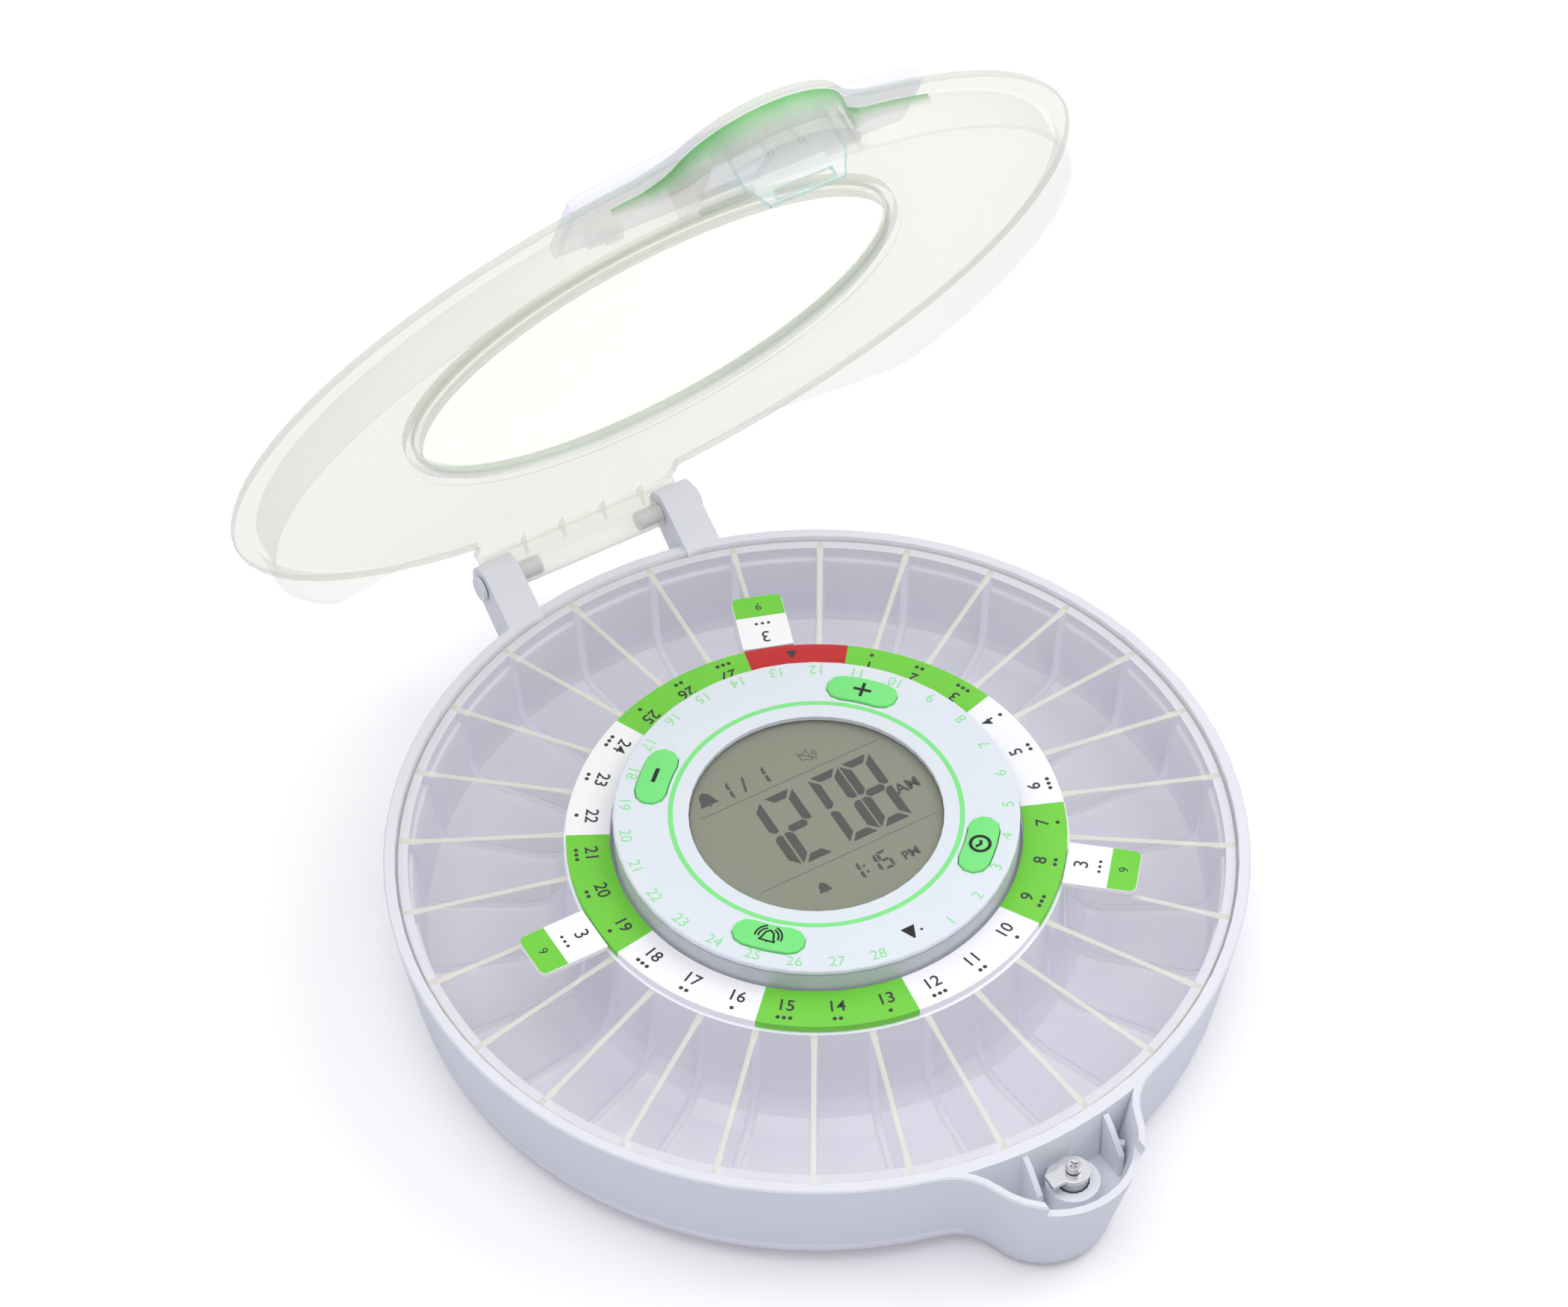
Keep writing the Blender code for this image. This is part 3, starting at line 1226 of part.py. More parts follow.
def build_barrel():
    """Lock barrel with its key slot underneath and the screw bore on top."""
    place = (LOCK_X, LOCK_Y)
    top = CAM_BOTTOM - FIT_GAP
    barrel = prism("lock_barrel", circle(BARREL_RADIUS, SMALL_STEPS, place), BARREL_BOTTOM, top)
    low = (LOCK_X - KEY_SLOT_HALF_WIDTH, LOCK_Y - KEY_SLOT_HALF_LENGTH, BARREL_BOTTOM - CUT_OVERRUN)
    high = (LOCK_X + KEY_SLOT_HALF_WIDTH, LOCK_Y + KEY_SLOT_HALF_LENGTH, KEY_SLOT_TOP)
    cut(barrel, block("key_slot", low, high))
    bore = circle(CAM_SCREW_SHANK_RADIUS + FIT_GAP, TINY_STEPS, place)
    cut(barrel, prism("bore", bore, CAM_SCREW_TIP - FIT_GAP, top + CUT_OVERRUN))
    finish(barrel, "zinc_steel", (LOCK_X, LOCK_Y, CAM_BOTTOM))


def build_cam():
    """Chromed cam whose finger points to -X while the lock is open."""
    place = (LOCK_X, LOCK_Y)
    top = CAM_BOTTOM + CAM_THICKNESS
    cam = prism("lock_cam", circle(CAM_RADIUS, SMALL_STEPS, place), CAM_BOTTOM, top)
    low = (LOCK_X - CAM_REACH, LOCK_Y - CAM_FINGER_HALF, CAM_BOTTOM)
    fuse(cam, block("finger", low, (LOCK_X, LOCK_Y + CAM_FINGER_HALF, top)))
    bore = circle(CAM_SCREW_SHANK_RADIUS + FIT_GAP, TINY_STEPS, place)
    cut(cam, prism("bore", bore, CAM_BOTTOM - CUT_OVERRUN, top + CUT_OVERRUN))
    finish(cam, "chrome_steel", (LOCK_X, LOCK_Y, CAM_BOTTOM))


def build_cam_screw():
    """Screw that holds the cam on the barrel."""
    seat = CAM_BOTTOM + CAM_THICKNESS + FIT_GAP
    head = seat + CAM_SCREW_HEAD_HEIGHT
    radii = (CAM_SCREW_SHANK_RADIUS, CAM_SCREW_HEAD_RADIUS)
    heights = (CAM_SCREW_TIP, seat, head)
    screw = make_screw("cam_screw", (LOCK_X, LOCK_Y), radii, heights, head - CROSS_DEPTH)
    finish(screw, "chrome_steel", (LOCK_X, LOCK_Y, CAM_BOTTOM))


def cap_outline(inset, with_hinge=False):
    """Plan outline of the lid with its lug cap, moved inward."""
    return lug_outline(PLATE_RADIUS, CAP_FRONT, CAP_RADIUS, CAP_FILLET, inset, with_hinge)


def lid_plate():
    """Plate of the lid with rounded edges and the opening for the window."""
    rings = []
    for level, inset in (
        (PLATE_LOW, PLATE_EDGE),
        (PLATE_LOW + PLATE_SIDE, 0.0),
        (PLATE_TOP - PLATE_SIDE, 0.0),
        (PLATE_TOP, PLATE_EDGE),
    ):
        rings.append([(x, y, level) for x, y in cap_outline(inset, True)])
    plate = loft("lid_shell", rings)
    hole = circle((RISER_INNER + RISER_OUTER) / 2.0, BIG_STEPS)
    cut(plate, prism("window_hole", hole, PLATE_LOW - CUT_OVERRUN, PLATE_TOP + CUT_OVERRUN))
    seat = [
        (PANE_SEAT_RADIUS, PANE_SEAT_LOW),
        (RISER_OUTER, PANE_SEAT_LOW),
        (RISER_OUTER, RISER_TOP),
        (RISER_INNER, RISER_TOP),
        (RISER_INNER, SEAT_TOP),
        (PANE_SEAT_RADIUS, SEAT_TOP),
    ]
    return fuse(plate, turned_ring("seat", seat, BIG_STEPS))


def skirt_low(turn):
    """Lower edge of the skirt at an angle from the hinge in degrees."""
    share = (SKIRT_FULL - abs(turn)) / (SKIRT_FULL - SKIRT_END)
    share = min(max(share, 0.0), 1.0)
    return SKIRT_LOW + (PLATE_LOW + EMBED - SKIRT_LOW) * share


def lid_skirt():
    """Skirt under the plate, running out on both sides of the hinge."""
    sections = []
    for step in range(SKIRT_STEPS):
        turn = 360.0 * step / SKIRT_STEPS - 180.0
        angle = math.radians(turn) + math.pi / 2.0
        low = skirt_low(turn)
        share = (low - SKIRT_LOW) / (PLATE_LOW - SKIRT_LOW)
        outer = SKIRT_LOW_RADIUS + (SKIRT_TOP_RADIUS - SKIRT_LOW_RADIUS) * share
        top = PLATE_LOW + EMBED + EMBED
        section = [
            (outer - SKIRT_THICKNESS, low),
            (outer, low),
            (SKIRT_TOP_RADIUS, top),
            (SKIRT_TOP_RADIUS - SKIRT_THICKNESS, top),
        ]
        sections.append([(*polar(radius, angle), level) for radius, level in section])
    return swept_ring("skirt", sections)


def cap_wall():
    """Wall under the lug cap, outside the skirt."""
    low = SKIRT_LOW
    high = PLATE_LOW + EMBED
    wall = prism("cap_wall", lug_outline(*CAP_WALL_OUTLINE), low, high)
    inside = lug_outline(*CAP_WALL_OUTLINE, inset=CAP_WALL)
    cut(wall, prism("cap_inside", inside, low - CUT_OVERRUN, high + CUT_OVERRUN))
    body = circle(CAP_WALL_START, PLUG_STEPS)
    cut(wall, prism("cap_body", body, low - CUT_OVERRUN, high + CUT_OVERRUN))
    return wall


def lid_hinge_leaf():
    """Leaf, barrel and gussets at the hinge edge of the lid."""
    low = (-LEAF_HALF_WIDTH, LEAF_FRONT, HINGE_Z)
    leaf = block("leaf", low, (LEAF_HALF_WIDTH, LEAF_BACK, PLATE_LOW + EMBED))
    low = (-HINGE_HALF_WIDTH + PLATE_SIDE, LEAF_FRONT, LEAF_WIDE_LOW)
    high = (HINGE_HALF_WIDTH - PLATE_SIDE, LEAF_BACK, PLATE_LOW + EMBED + EMBED)
    fuse(leaf, block("wide_leaf", low, high))
    place = (HINGE_Y, HINGE_Z)
    half = LID_BARREL_HALF
    fuse(leaf, rod_x("barrel", -half, half, LID_BARREL_RADIUS, place, SMALL_STEPS))
    for side in (-1.0, 1.0):
        start = side * (PIN_TIP_X - FIT_GAP)
        end = side * (half + CUT_OVERRUN)
        cut(leaf, rod_x("bore", start, end, LID_BARREL_BORE, place, SMALL_STEPS))
    for gusset_x in GUSSET_XS:
        fuse(leaf, slab("gusset", GUSSET_PROFILE, gusset_x - GUSSET_HALF, gusset_x + GUSSET_HALF))
    return leaf


def dose_opening():
    """Cutter for the dose opening over one compartment, and for the marks beside it."""
    middle = -math.pi / 2.0 + SLOT_TURN
    start = middle - DOSE_HOLE_HALF_TURN
    end = middle + DOSE_HOLE_HALF_TURN
    outer = arc((0.0, 0.0), DOSE_HOLE_OUTER, start, end, DOSE_HOLE_STEPS)
    inner = arc((0.0, 0.0), DOSE_HOLE_INNER, end, start, DOSE_HOLE_STEPS)
    low = PLATE_LOW - CUT_OVERRUN
    high = PLATE_TOP + CUT_OVERRUN
    hole = prism("dose_hole", outer + inner, low, high)
    corner, opposite = DOSE_SLOT
    slot = block("dose_slot", (*corner, low), (*opposite, high))
    return merged("dose_opening", [hole, slot])


def cover_posts():
    """Posts with knuckles on the lid that carry the dose door."""
    posts = []
    for start in POST_KNUCKLE_XS:
        end = start + KNUCKLE_LENGTH
        place = (KNUCKLE_Y, KNUCKLE_Z)
        post = rod_x("post", start, end, KNUCKLE_RADIUS, place, TINY_STEPS)
        low = (start, KNUCKLE_Y, PLATE_TOP - EMBED)
        fuse(post, block("post_foot", low, (end, POST_BACK, KNUCKLE_Z)))
        bore = rod_x("bore", start - CUT_OVERRUN, end + CUT_OVERRUN, COVER_PIN_BORE, place, TINY_STEPS)
        posts.append(cut(post, bore))
    return merged("cover_posts", posts)


def build_lid():
    """Lid shell swung open."""
    lid = lid_plate()
    fuse(lid, lid_skirt())
    fuse(lid, cap_wall())
    fuse(lid, lid_hinge_leaf())
    cut(lid, dose_opening())
    fuse(lid, cover_posts())
    finish(lid, "clear_lid", (0.0, HINGE_Y, HINGE_Z), open_place())


def build_pane():
    """Clear window pane of the lid."""
    pane = prism("lid_window", circle(PANE_RADIUS, BIG_STEPS), PANE_LOW, PANE_TOP)
    finish(pane, "clear_pane", (0.0, HINGE_Y, HINGE_Z), open_place())


def tongue_plate(top):
    """Plate of the latch tongue, with its lower corners cut away beside the lug wall."""
    left = TONGUE_LEFT + TONGUE_CORNER_WIDTH
    right = TONGUE_RIGHT - TONGUE_CORNER_WIDTH
    shoulder = TONGUE_BOTTOM + TONGUE_CORNER_HEIGHT
    upper = [(TONGUE_RIGHT, shoulder), (TONGUE_RIGHT, top), (TONGUE_LEFT, top), (TONGUE_LEFT, shoulder)]
    outline = [(left, TONGUE_BOTTOM), (right, TONGUE_BOTTOM), *upper]
    rings = [[(x, place, z) for x, z in outline] for place in (TONGUE_FRONT, TONGUE_BACK)]
    return loft("latch_tongue", rings)


def build_tongue():
    """Clear latch tongue with the slot that the cam enters."""
    top = PLATE_LOW - FIT_GAP
    tongue = tongue_plate(top)
    low = (TONGUE_LEFT, TONGUE_FRONT, TONGUE_FOOT_LOW)
    fuse(tongue, block("foot", low, (TONGUE_RIGHT, TONGUE_FOOT_BACK, top)))
    low = (TONGUE_SLOT_LEFT, TONGUE_FRONT - CUT_OVERRUN, TONGUE_SLOT_LOW)
    high = (TONGUE_SLOT_RIGHT, TONGUE_BACK + CUT_OVERRUN, TONGUE_SLOT_HIGH)
    cut(tongue, block("slot", low, high))
    corner = TONGUE_BACK - EMBED
    root = TONGUE_FOOT_LOW + EMBED
    profile = [(corner, TONGUE_RIB_LOW), (corner, root), (TONGUE_RIB_BACK, root)]
    for place in TONGUE_RIB_XS:
        fuse(tongue, slab("rib", profile, place - TONGUE_RIB_HALF, place + TONGUE_RIB_HALF))
    finish(tongue, "clear_latch", (0.0, HINGE_Y, HINGE_Z), open_place())


def build_insert():
    """Green band inside the lug cap."""
    high = PLATE_LOW - FIT_GAP
    low = high - INSERT_THICKNESS
    band = prism("cap_insert", lug_outline(*CAP_WALL_OUTLINE, inset=INSERT_INSET), low, high)
    inside = lug_outline(*CAP_WALL_OUTLINE, inset=INSERT_INSET + INSERT_BAND)
    cut(band, prism("inside", inside, low - CUT_OVERRUN, high + CUT_OVERRUN))
    body = circle(INSERT_INNER_RADIUS, BIG_STEPS)
    cut(band, prism("body", body, low - CUT_OVERRUN, high + CUT_OVERRUN))
    corner = (TONGUE_LEFT - FIT_GAP, TONGUE_FRONT - FIT_GAP, low - CUT_OVERRUN)
    opposite = (TONGUE_RIGHT + FIT_GAP, -INSERT_INNER_RADIUS / 2.0, high + CUT_OVERRUN)
    cut(band, block("tongue_space", corner, opposite))
    finish(band, "green_insert", (0.0, HINGE_Y, HINGE_Z), open_place())


def cover_outline(inset):
    """Plan outline of the dose door: an arc outside and a straight edge inside."""
    radius = COVER_RADIUS - inset
    left = COVER_LEFT + inset
    right = COVER_RIGHT - inset
    back = COVER_BACK - inset
    start = -math.pi + math.acos(-left / radius)
    end = -math.acos(right / radius)
    outer = arc((0.0, 0.0), radius, start, end, COVER_ARC_STEPS)
    return [*outer, (right, back), (left, back)]


def cover_shell():
    """Hollow shell of the dose door."""
    rings = []
    for level, inset in ((COVER_LOW, 0.0), (COVER_TOP - COVER_EDGE, 0.0), (COVER_TOP, COVER_EDGE)):
        rings.append([(x, y, level) for x, y in cover_outline(inset)])
    cover = loft("dose_door", rings)
    inside = cover_outline(COVER_THICKNESS)
    low = COVER_LOW - CUT_OVERRUN
    return cut(cover, prism("cover_inside", inside, low, COVER_TOP - COVER_THICKNESS))


def build_dose_door():
    """Dose door with its knuckles, and the pins that carry it."""
    cover = cover_shell()
    place = (KNUCKLE_Y, KNUCKLE_Z)
    pivot = (0.0, KNUCKLE_Y, KNUCKLE_Z)
    for number, (start, post_start) in enumerate(zip(KNUCKLE_XS, POST_KNUCKLE_XS), start=1):
        end = start + KNUCKLE_LENGTH
        knuckle = rod_x("knuckle", start, end, KNUCKLE_RADIUS, place, TINY_STEPS)
        low = (start, COVER_BACK - COVER_EDGE, WEB_LOW)
        high = (end, WEB_BACK, COVER_TOP - COVER_EDGE)
        fuse(knuckle, block("web", low, high))
        bore = rod_x("bore", start - CUT_OVERRUN, end + CUT_OVERRUN, COVER_PIN_BORE, place, TINY_STEPS)
        fuse(cover, cut(knuckle, bore))
        outer = max(end, post_start + KNUCKLE_LENGTH) - EMBED
        inner = min(start, post_start) + EMBED
        pin = rod_x(f"dose_door_pin_{number}", inner, outer, COVER_PIN_RADIUS, place, TINY_STEPS)
        finish(pin, "zinc_steel", pivot, open_place())
    finish(cover, "lilac_grey_abs", pivot, open_place())


def main():
    """Build every piece of the pill box."""
    clear_scene()
    build_base()
    build_feet()
    build_battery_door()
    build_batteries()
    build_contacts()
    build_gearmotor()
    build_pinion()
    build_tray_gear()
    build_tray()
    build_dial_ring()
    build_tabs()
    build_module_body()
    build_pcb()
    build_buzzer()
    build_screws()
    build_face()
    build_buttons()
    build_display()
    build_hinge_pins()
    build_barrel()
    build_cam()
    build_cam_screw()
    build_lid()
    build_pane()
    build_tongue()
    build_insert()
    build_dose_door()


main()
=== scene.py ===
"""Electronic pill box, dressed for a picture.

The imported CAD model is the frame. Each sub-assembly is a class that makes its own pieces, and each
finish is a class that makes its own material. Lengths are in metres, in the frame of the CAD: the
lock is at -Y, the hinge is at +Y, and Z is up from the flat underside of the base.
"""

import json
import logging
import math
from dataclasses import dataclass
from enum import Enum
from typing import Sequence

import bmesh
import bpy
import numpy as np
from bpy.types import Material, Mesh, Node, NodeSocket, NodeTree, Object
from mathutils import Matrix, Vector

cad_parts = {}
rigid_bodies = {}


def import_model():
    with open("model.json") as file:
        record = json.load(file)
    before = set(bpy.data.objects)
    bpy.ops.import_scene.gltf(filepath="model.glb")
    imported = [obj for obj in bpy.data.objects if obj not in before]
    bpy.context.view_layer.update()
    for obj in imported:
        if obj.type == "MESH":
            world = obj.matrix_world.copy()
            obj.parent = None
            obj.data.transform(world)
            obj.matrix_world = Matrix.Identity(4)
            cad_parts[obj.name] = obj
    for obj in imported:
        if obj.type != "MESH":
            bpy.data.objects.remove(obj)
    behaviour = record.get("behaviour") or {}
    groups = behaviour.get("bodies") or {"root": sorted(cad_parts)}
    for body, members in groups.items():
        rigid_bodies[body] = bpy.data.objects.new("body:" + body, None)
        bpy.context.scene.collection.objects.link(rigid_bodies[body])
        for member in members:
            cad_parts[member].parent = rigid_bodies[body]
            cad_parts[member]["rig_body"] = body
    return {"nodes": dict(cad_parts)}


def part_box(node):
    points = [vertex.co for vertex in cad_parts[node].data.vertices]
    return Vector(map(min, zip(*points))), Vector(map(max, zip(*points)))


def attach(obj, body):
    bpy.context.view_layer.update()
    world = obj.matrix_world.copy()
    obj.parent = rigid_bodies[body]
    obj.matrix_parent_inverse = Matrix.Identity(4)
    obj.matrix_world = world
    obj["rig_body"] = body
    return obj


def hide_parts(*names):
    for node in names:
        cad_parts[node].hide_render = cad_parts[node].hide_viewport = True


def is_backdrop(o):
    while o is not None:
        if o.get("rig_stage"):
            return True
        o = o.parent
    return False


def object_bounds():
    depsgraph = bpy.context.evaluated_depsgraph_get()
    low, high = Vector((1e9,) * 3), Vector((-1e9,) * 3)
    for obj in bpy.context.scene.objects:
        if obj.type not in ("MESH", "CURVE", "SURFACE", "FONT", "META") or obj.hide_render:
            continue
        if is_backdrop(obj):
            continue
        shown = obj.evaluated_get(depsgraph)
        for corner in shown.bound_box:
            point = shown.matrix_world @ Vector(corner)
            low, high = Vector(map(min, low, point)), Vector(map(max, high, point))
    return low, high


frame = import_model()

LOG = logging.getLogger("pill_box")
# Distance within which two vertices are one
MERGE = 0.00001
# Angles past which an edge is eased or creased, and past which it stays sharp on an eased piece
CREASE = math.radians(34.0)
SHARP = math.radians(50.0)
# Angle within which triangles of the CAD lie in one flat face
FLAT = math.radians(0.4)
# Thickness of everything printed: more than real ink has, so that it doesn't flicker
PRINT_THICKNESS = 0.00003
# Width of the photograph's frame in pixels
PICTURE_WIDTH = 2100.0
# Segments that each figure lights
LIT_SEGMENTS = {"0": "abcdef", "1": "bc", "2": "abged", "5": "afgcd", "8": "abcdefg"}


class Body(str, Enum):
    """Bodies of the frame that pieces ride on."""

    BASE = "base"
    TRAY = "tray"
    PINION = "pinion"
    LID = "lid"
    DOSE_DOOR = "dose_door"
    BATTERY_DOOR = "battery_door"
    LOCK = "lock"
    PLUS = "plus"
    MINUS = "minus"
    BELL = "bell"
    CLOCK = "clock"


def linear(code: str) -> tuple[float, float, float, float]:
    """Turns a display colour into a linear one.

    Args:
        code: Six hexadecimal digits, red first.

    Returns:
        Linear red, green and blue, and 1 for opaque.
    """
    shares = np.array([int(code[i : i + 2], 16) for i in (0, 2, 4)]) / 255.0
    low = shares / 12.92
    high = ((shares + 0.055) / 1.055) ** 2.4
    return (*np.where(shares <= 0.04045, low, high).tolist(), 1.0)


def add_node(
    tree: NodeTree, kind: str, inputs: dict | None = None, **settings: object
) -> Node:
    """Adds one shader node and sets or links its inputs.

    Args:
        tree: Node tree that takes the node.
        kind: Blender's name for the kind of node.
        inputs: Value or output socket for each input, by its name or number.
        **settings: Values for the node's own properties.

    Returns:
        The new node.
    """
    node = tree.nodes.new(kind)
    for key, value in settings.items():
        setattr(node, key, value)
    for key, value in (inputs or {}).items():
        if isinstance(value, NodeSocket):
            tree.links.new(value, node.inputs[key])
        else:
            node.inputs[key].default_value = value
    return node


@dataclass(frozen=True)
class Finish:
    """A material with slow colour drift, uneven gloss and a fine surface texture.

    Attributes:
        name: Name of the material.
        slot: Material slot of the record that it stands for. Not used.
        colour: Main display colour.
        shade: Display colour that it drifts to.
        patch: Size of the drift.
        roughness: Lowest roughness.
        spread: How much rougher the dullest places are.
        grain: Size of the fine texture.
        relief: Height of the fine texture.
        metallic: 1 for metal.
        alpha: Share of light that one surface stops.
        index: Refractive index, for anything but metal.
        under: Weight of light scattered under the surface.
        depth: How far that light spreads.
        glow: Strength of the light that it gives off.
    """

    name: str
    slot: str
    colour: str
    shade: str
    patch: float = 0.020
    roughness: float = 0.35
    spread: float = 0.08
    grain: float = 0.0005
    relief: float = 4e-6
    metallic: float = 0.0
    alpha: float = 1.0
    index: float = 1.5
    under: float = 0.0
    depth: float = 0.002
    glow: float = 0.0

    def colour_socket(self, tree: NodeTree, place: NodeSocket) -> NodeSocket:
        """Makes the colour.

        Args:
            tree: Node tree of the material.
            place: Position on the object.

        Returns:
            Output socket with the colour.
        """
        inputs = {"Vector": place, "Scale": 1.0 / self.patch, "Detail": 3.0}
        drift = add_node(tree, "ShaderNodeTexNoise", inputs)
        colours = {0: drift.outputs["Fac"], 6: linear(self.colour), 7: linear(self.shade)}
        return add_node(tree, "ShaderNodeMix", colours, data_type="RGBA").outputs[2]

    def material(self) -> Material:
        """Makes the material, or finds it if it is already made.

        Returns:
            The material of this finish.
        """
        ready = bpy.data.materials.get(self.name)
        if ready is not None:
            return ready
        material = bpy.data.materials.new(self.name)
        material.use_nodes = True
        tree = material.node_tree
        tree.nodes.clear()
        place = add_node(tree, "ShaderNodeTexCoord").outputs["Object"]
        inputs = {"Vector": place, "Scale": 1.0 / self.grain, "Detail": 2.0}
        fine = add_node(tree, "ShaderNodeTexNoise", inputs)
        inputs = {"Vector": place, "Scale": 3.0 / self.patch, "Detail": 2.0}
        gloss = add_node(tree, "ShaderNodeTexNoise", inputs)
        limits = {"Value": gloss.outputs["Fac"], 3: self.roughness, 4: self.roughness + self.spread}
        rough = add_node(tree, "ShaderNodeMapRange", limits)
        bump = add_node(tree, "ShaderNodeBump", {"Height": fine.outputs["Fac"], "Distance": self.relief})
        inputs = {
            "Base Color": self.colour_socket(tree, place),
            "Roughness": rough.outputs[0],
            "Normal": bump.outputs[0],
            "Metallic": self.metallic,
            "Alpha": self.alpha,
        }
        if not self.metallic:
            inputs["IOR"] = self.index
        if self.under:
            inputs["Subsurface Weight"] = self.under
            inputs["Subsurface Radius"] = (1.0, 1.0, 1.0)
            inputs["Subsurface Scale"] = self.depth
        if self.glow:
            inputs["Emission Color"] = linear(self.colour)
            inputs["Emission Strength"] = self.glow
        shader = add_node(tree, "ShaderNodeBsdfPrincipled", inputs)
        add_node(tree, "ShaderNodeOutputMaterial", {"Surface": shader.outputs[0]})
        return material


@dataclass(frozen=True)
class BoardFinish(Finish):
    """Circuit board laminate: solder resist with the copper tracks showing as paler lines.

    Attributes:
        track: Display colour of the tracks.
    """

    track: str = "3E8A5A"

    def colour_socket(self, tree: NodeTree, place: NodeSocket) -> NodeSocket:
        """Makes the colour.

        Args:
            tree: Node tree of the material.
            place: Position on the object.

        Returns:
            Output socket with the colour.
        """
        inputs = {
            "Vector": place,
            "Color1": linear(self.colour),
            "Color2": linear(self.shade),
            "Mortar": linear(self.track),
            "Scale": 1.0 / self.patch,
            "Mortar Size": 0.02,
        }
        return add_node(tree, "ShaderNodeTexBrick", inputs).outputs["Color"]


@dataclass(frozen=True)
class FadingFinish(Finish):
    """Soft green plastic behind milky clear plastic: its colour dies away with depth.

    Attributes:
        far: Display colour where it has died away.
        far_alpha: Share of light that one surface stops there.
    """

    far: str = "F0F5EC"
    far_alpha: float = 0.05

    def colour_socket(self, tree: NodeTree, place: NodeSocket) -> NodeSocket:
        """Makes the colour.

        Args:
            tree: Node tree of the material.
            place: Position on the object.

        Returns:
            Output socket with the colour.
        """
        near = super().colour_socket(tree, place)
        fade = add_node(tree, "ShaderNodeAttribute", attribute_name="fade").outputs["Fac"]
        colours = {0: fade, 6: near, 7: linear(self.far)}
        return add_node(tree, "ShaderNodeMix", colours, data_type="RGBA").outputs[2]

    def material(self) -> Material:
        """Makes the material, which also lets more through where the colour has died away.

        Returns:
            The material of this finish.
        """
        material = super().material()
        tree = material.node_tree
        fade = add_node(tree, "ShaderNodeAttribute", attribute_name="fade").outputs["Fac"]
        alpha = add_node(tree, "ShaderNodeMapRange", {"Value": fade, 3: self.alpha, 4: self.far_alpha})
        tree.links.new(alpha.outputs[0], tree.nodes["Principled BSDF"].inputs["Alpha"])
        return material


@dataclass(frozen=True)
class FloorFinish(Finish):
    """Backdrop paper: white to the camera, and darker to light that bounces up from it.

    Attributes:
        bounce: Display colour for light that bounces.
    """

    bounce: str = "CDCDD6"

    def colour_socket(self, tree: NodeTree, place: NodeSocket) -> NodeSocket:
        """Makes the colour.

        Args:
            tree: Node tree of the material.
            place: Position on the object.

        Returns:
            Output socket with the colour.
        """
        near = super().colour_socket(tree, place)
        ray = add_node(tree, "ShaderNodeLightPath").outputs["Is Camera Ray"]
        colours = {0: ray, 6: linear(self.bounce), 7: near}
        return add_node(tree, "ShaderNodeMix", colours, data_type="RGBA").outputs[2]


# Matt backdrop paper under the pill box
FLOOR_PAPER = FloorFinish("floor_paper", "", "FFFFFF", "FDFDFD", 0.5, 0.85, 0.05, 0.002, 0.0, glow=0.06)
# Satin ABS of the base: cool lilac white with a fine spark texture, as injection moulded shells have
LILAC_ABS = Finish("lilac_abs_satin", "lilac_abs", "E6E7EF", "E0E1EA", 0.05, 0.34, 0.08, 0.0007, 4e-6)
# The same in the well under the tray: glossier, and painted lighter than the rest of the base, a painted
# light that lifts the well out of the shade under the tray
LILAC_ABS_WELL_PAINTED_LIGHT = Finish("lilac_abs_well_painted_light", "lilac_abs", "F2F2FB", "EDEDF8", 0.05, 0.2, 0.06, 0.0007, 2e-6)
# Thin, smooth ABS of the dose door: glossier than the base, and it lets half of the light through.
# The light that scatters inside it is drawn as a faint glow.
LILAC_GREY_ABS = Finish(
    "lilac_grey_abs_smooth", "lilac_grey_abs", "EEEEFF", "E8E8FC", 0.03, 0.28, 0.08, alpha=0.5, glow=0.12
)
# Thin frosted polypropylene: milky, lets the base show through, soft highlights
FROSTED_PP = Finish("frosted_polypropylene", "frosted_tray", "F8F8FF", "F2F2FB", 0.03, 0.22, 0.12, alpha=0.15)
# The same on the floors and end walls of the compartments: thicker and etched, so milkier
FROSTED_PP_THICK = Finish(
    "frosted_polypropylene_thick", "frosted_tray", "ECEBF2", "E8E7EF", 0.03, 0.3, 0.12, alpha=0.8
)
# The same on the underside: the light that scatters in the moulding is drawn as a faint glow
FROSTED_PP_UNDER = Finish(
    "frosted_polypropylene_under", "frosted_tray", "F6F6FF", "F0F0FC", 0.03, 0.4, 0.1, alpha=0.9, glow=0.17
)
# The same where it is seen edge on: denser, and warm like the natural resin
FROSTED_PP_EDGE = Finish(
    "frosted_polypropylene_edge", "frosted_tray", "F3EEDC", "EEE9D7", 0.02, 0.2, 0.1, alpha=0.6
)
# Lid plate: moulded translucent polypropylene, milky, with a faint yellow green cast
LID_CLEAR = Finish("lid_milky_clear", "clear_lid", "FAFBD8", "F7F9D2", 0.06, 0.2, 0.08, alpha=0.24)
# Its upright edges: denser, and painted grey as painted shade on the upright faces, so they draw the outline
# in grey
LID_CLEAR_EDGE_SHADED = Finish("lid_milky_clear_edge_painted_shade", "clear_lid", "C8CEC2", "C0C6BA", 0.03, 0.18, 0.08, alpha=0.46)
# The same at the hinge, where the leaf and the barrel are thick: milkier
LID_HINGE = Finish("lid_milky_thick", "clear_lid", "FBFCF2", "F5F7EC", 0.03, 0.2, 0.08, alpha=0.5)
# The wall of the lid: less of the yellow cast than the plate
LID_WALL = Finish("lid_milky_wall", "clear_lid", "F5F6EC", "F0F1E7", 0.05, 0.2, 0.08, alpha=0.24)
# Window of the lid: polished and clearer than the plate. So little of its yellow shows at this
# alpha that it looks cream.
PANE_CLEAR = Finish("pane_polished_clear", "clear_pane", "FFFF50", "FFFF48", 0.06, 0.06, 0.04, alpha=0.08)
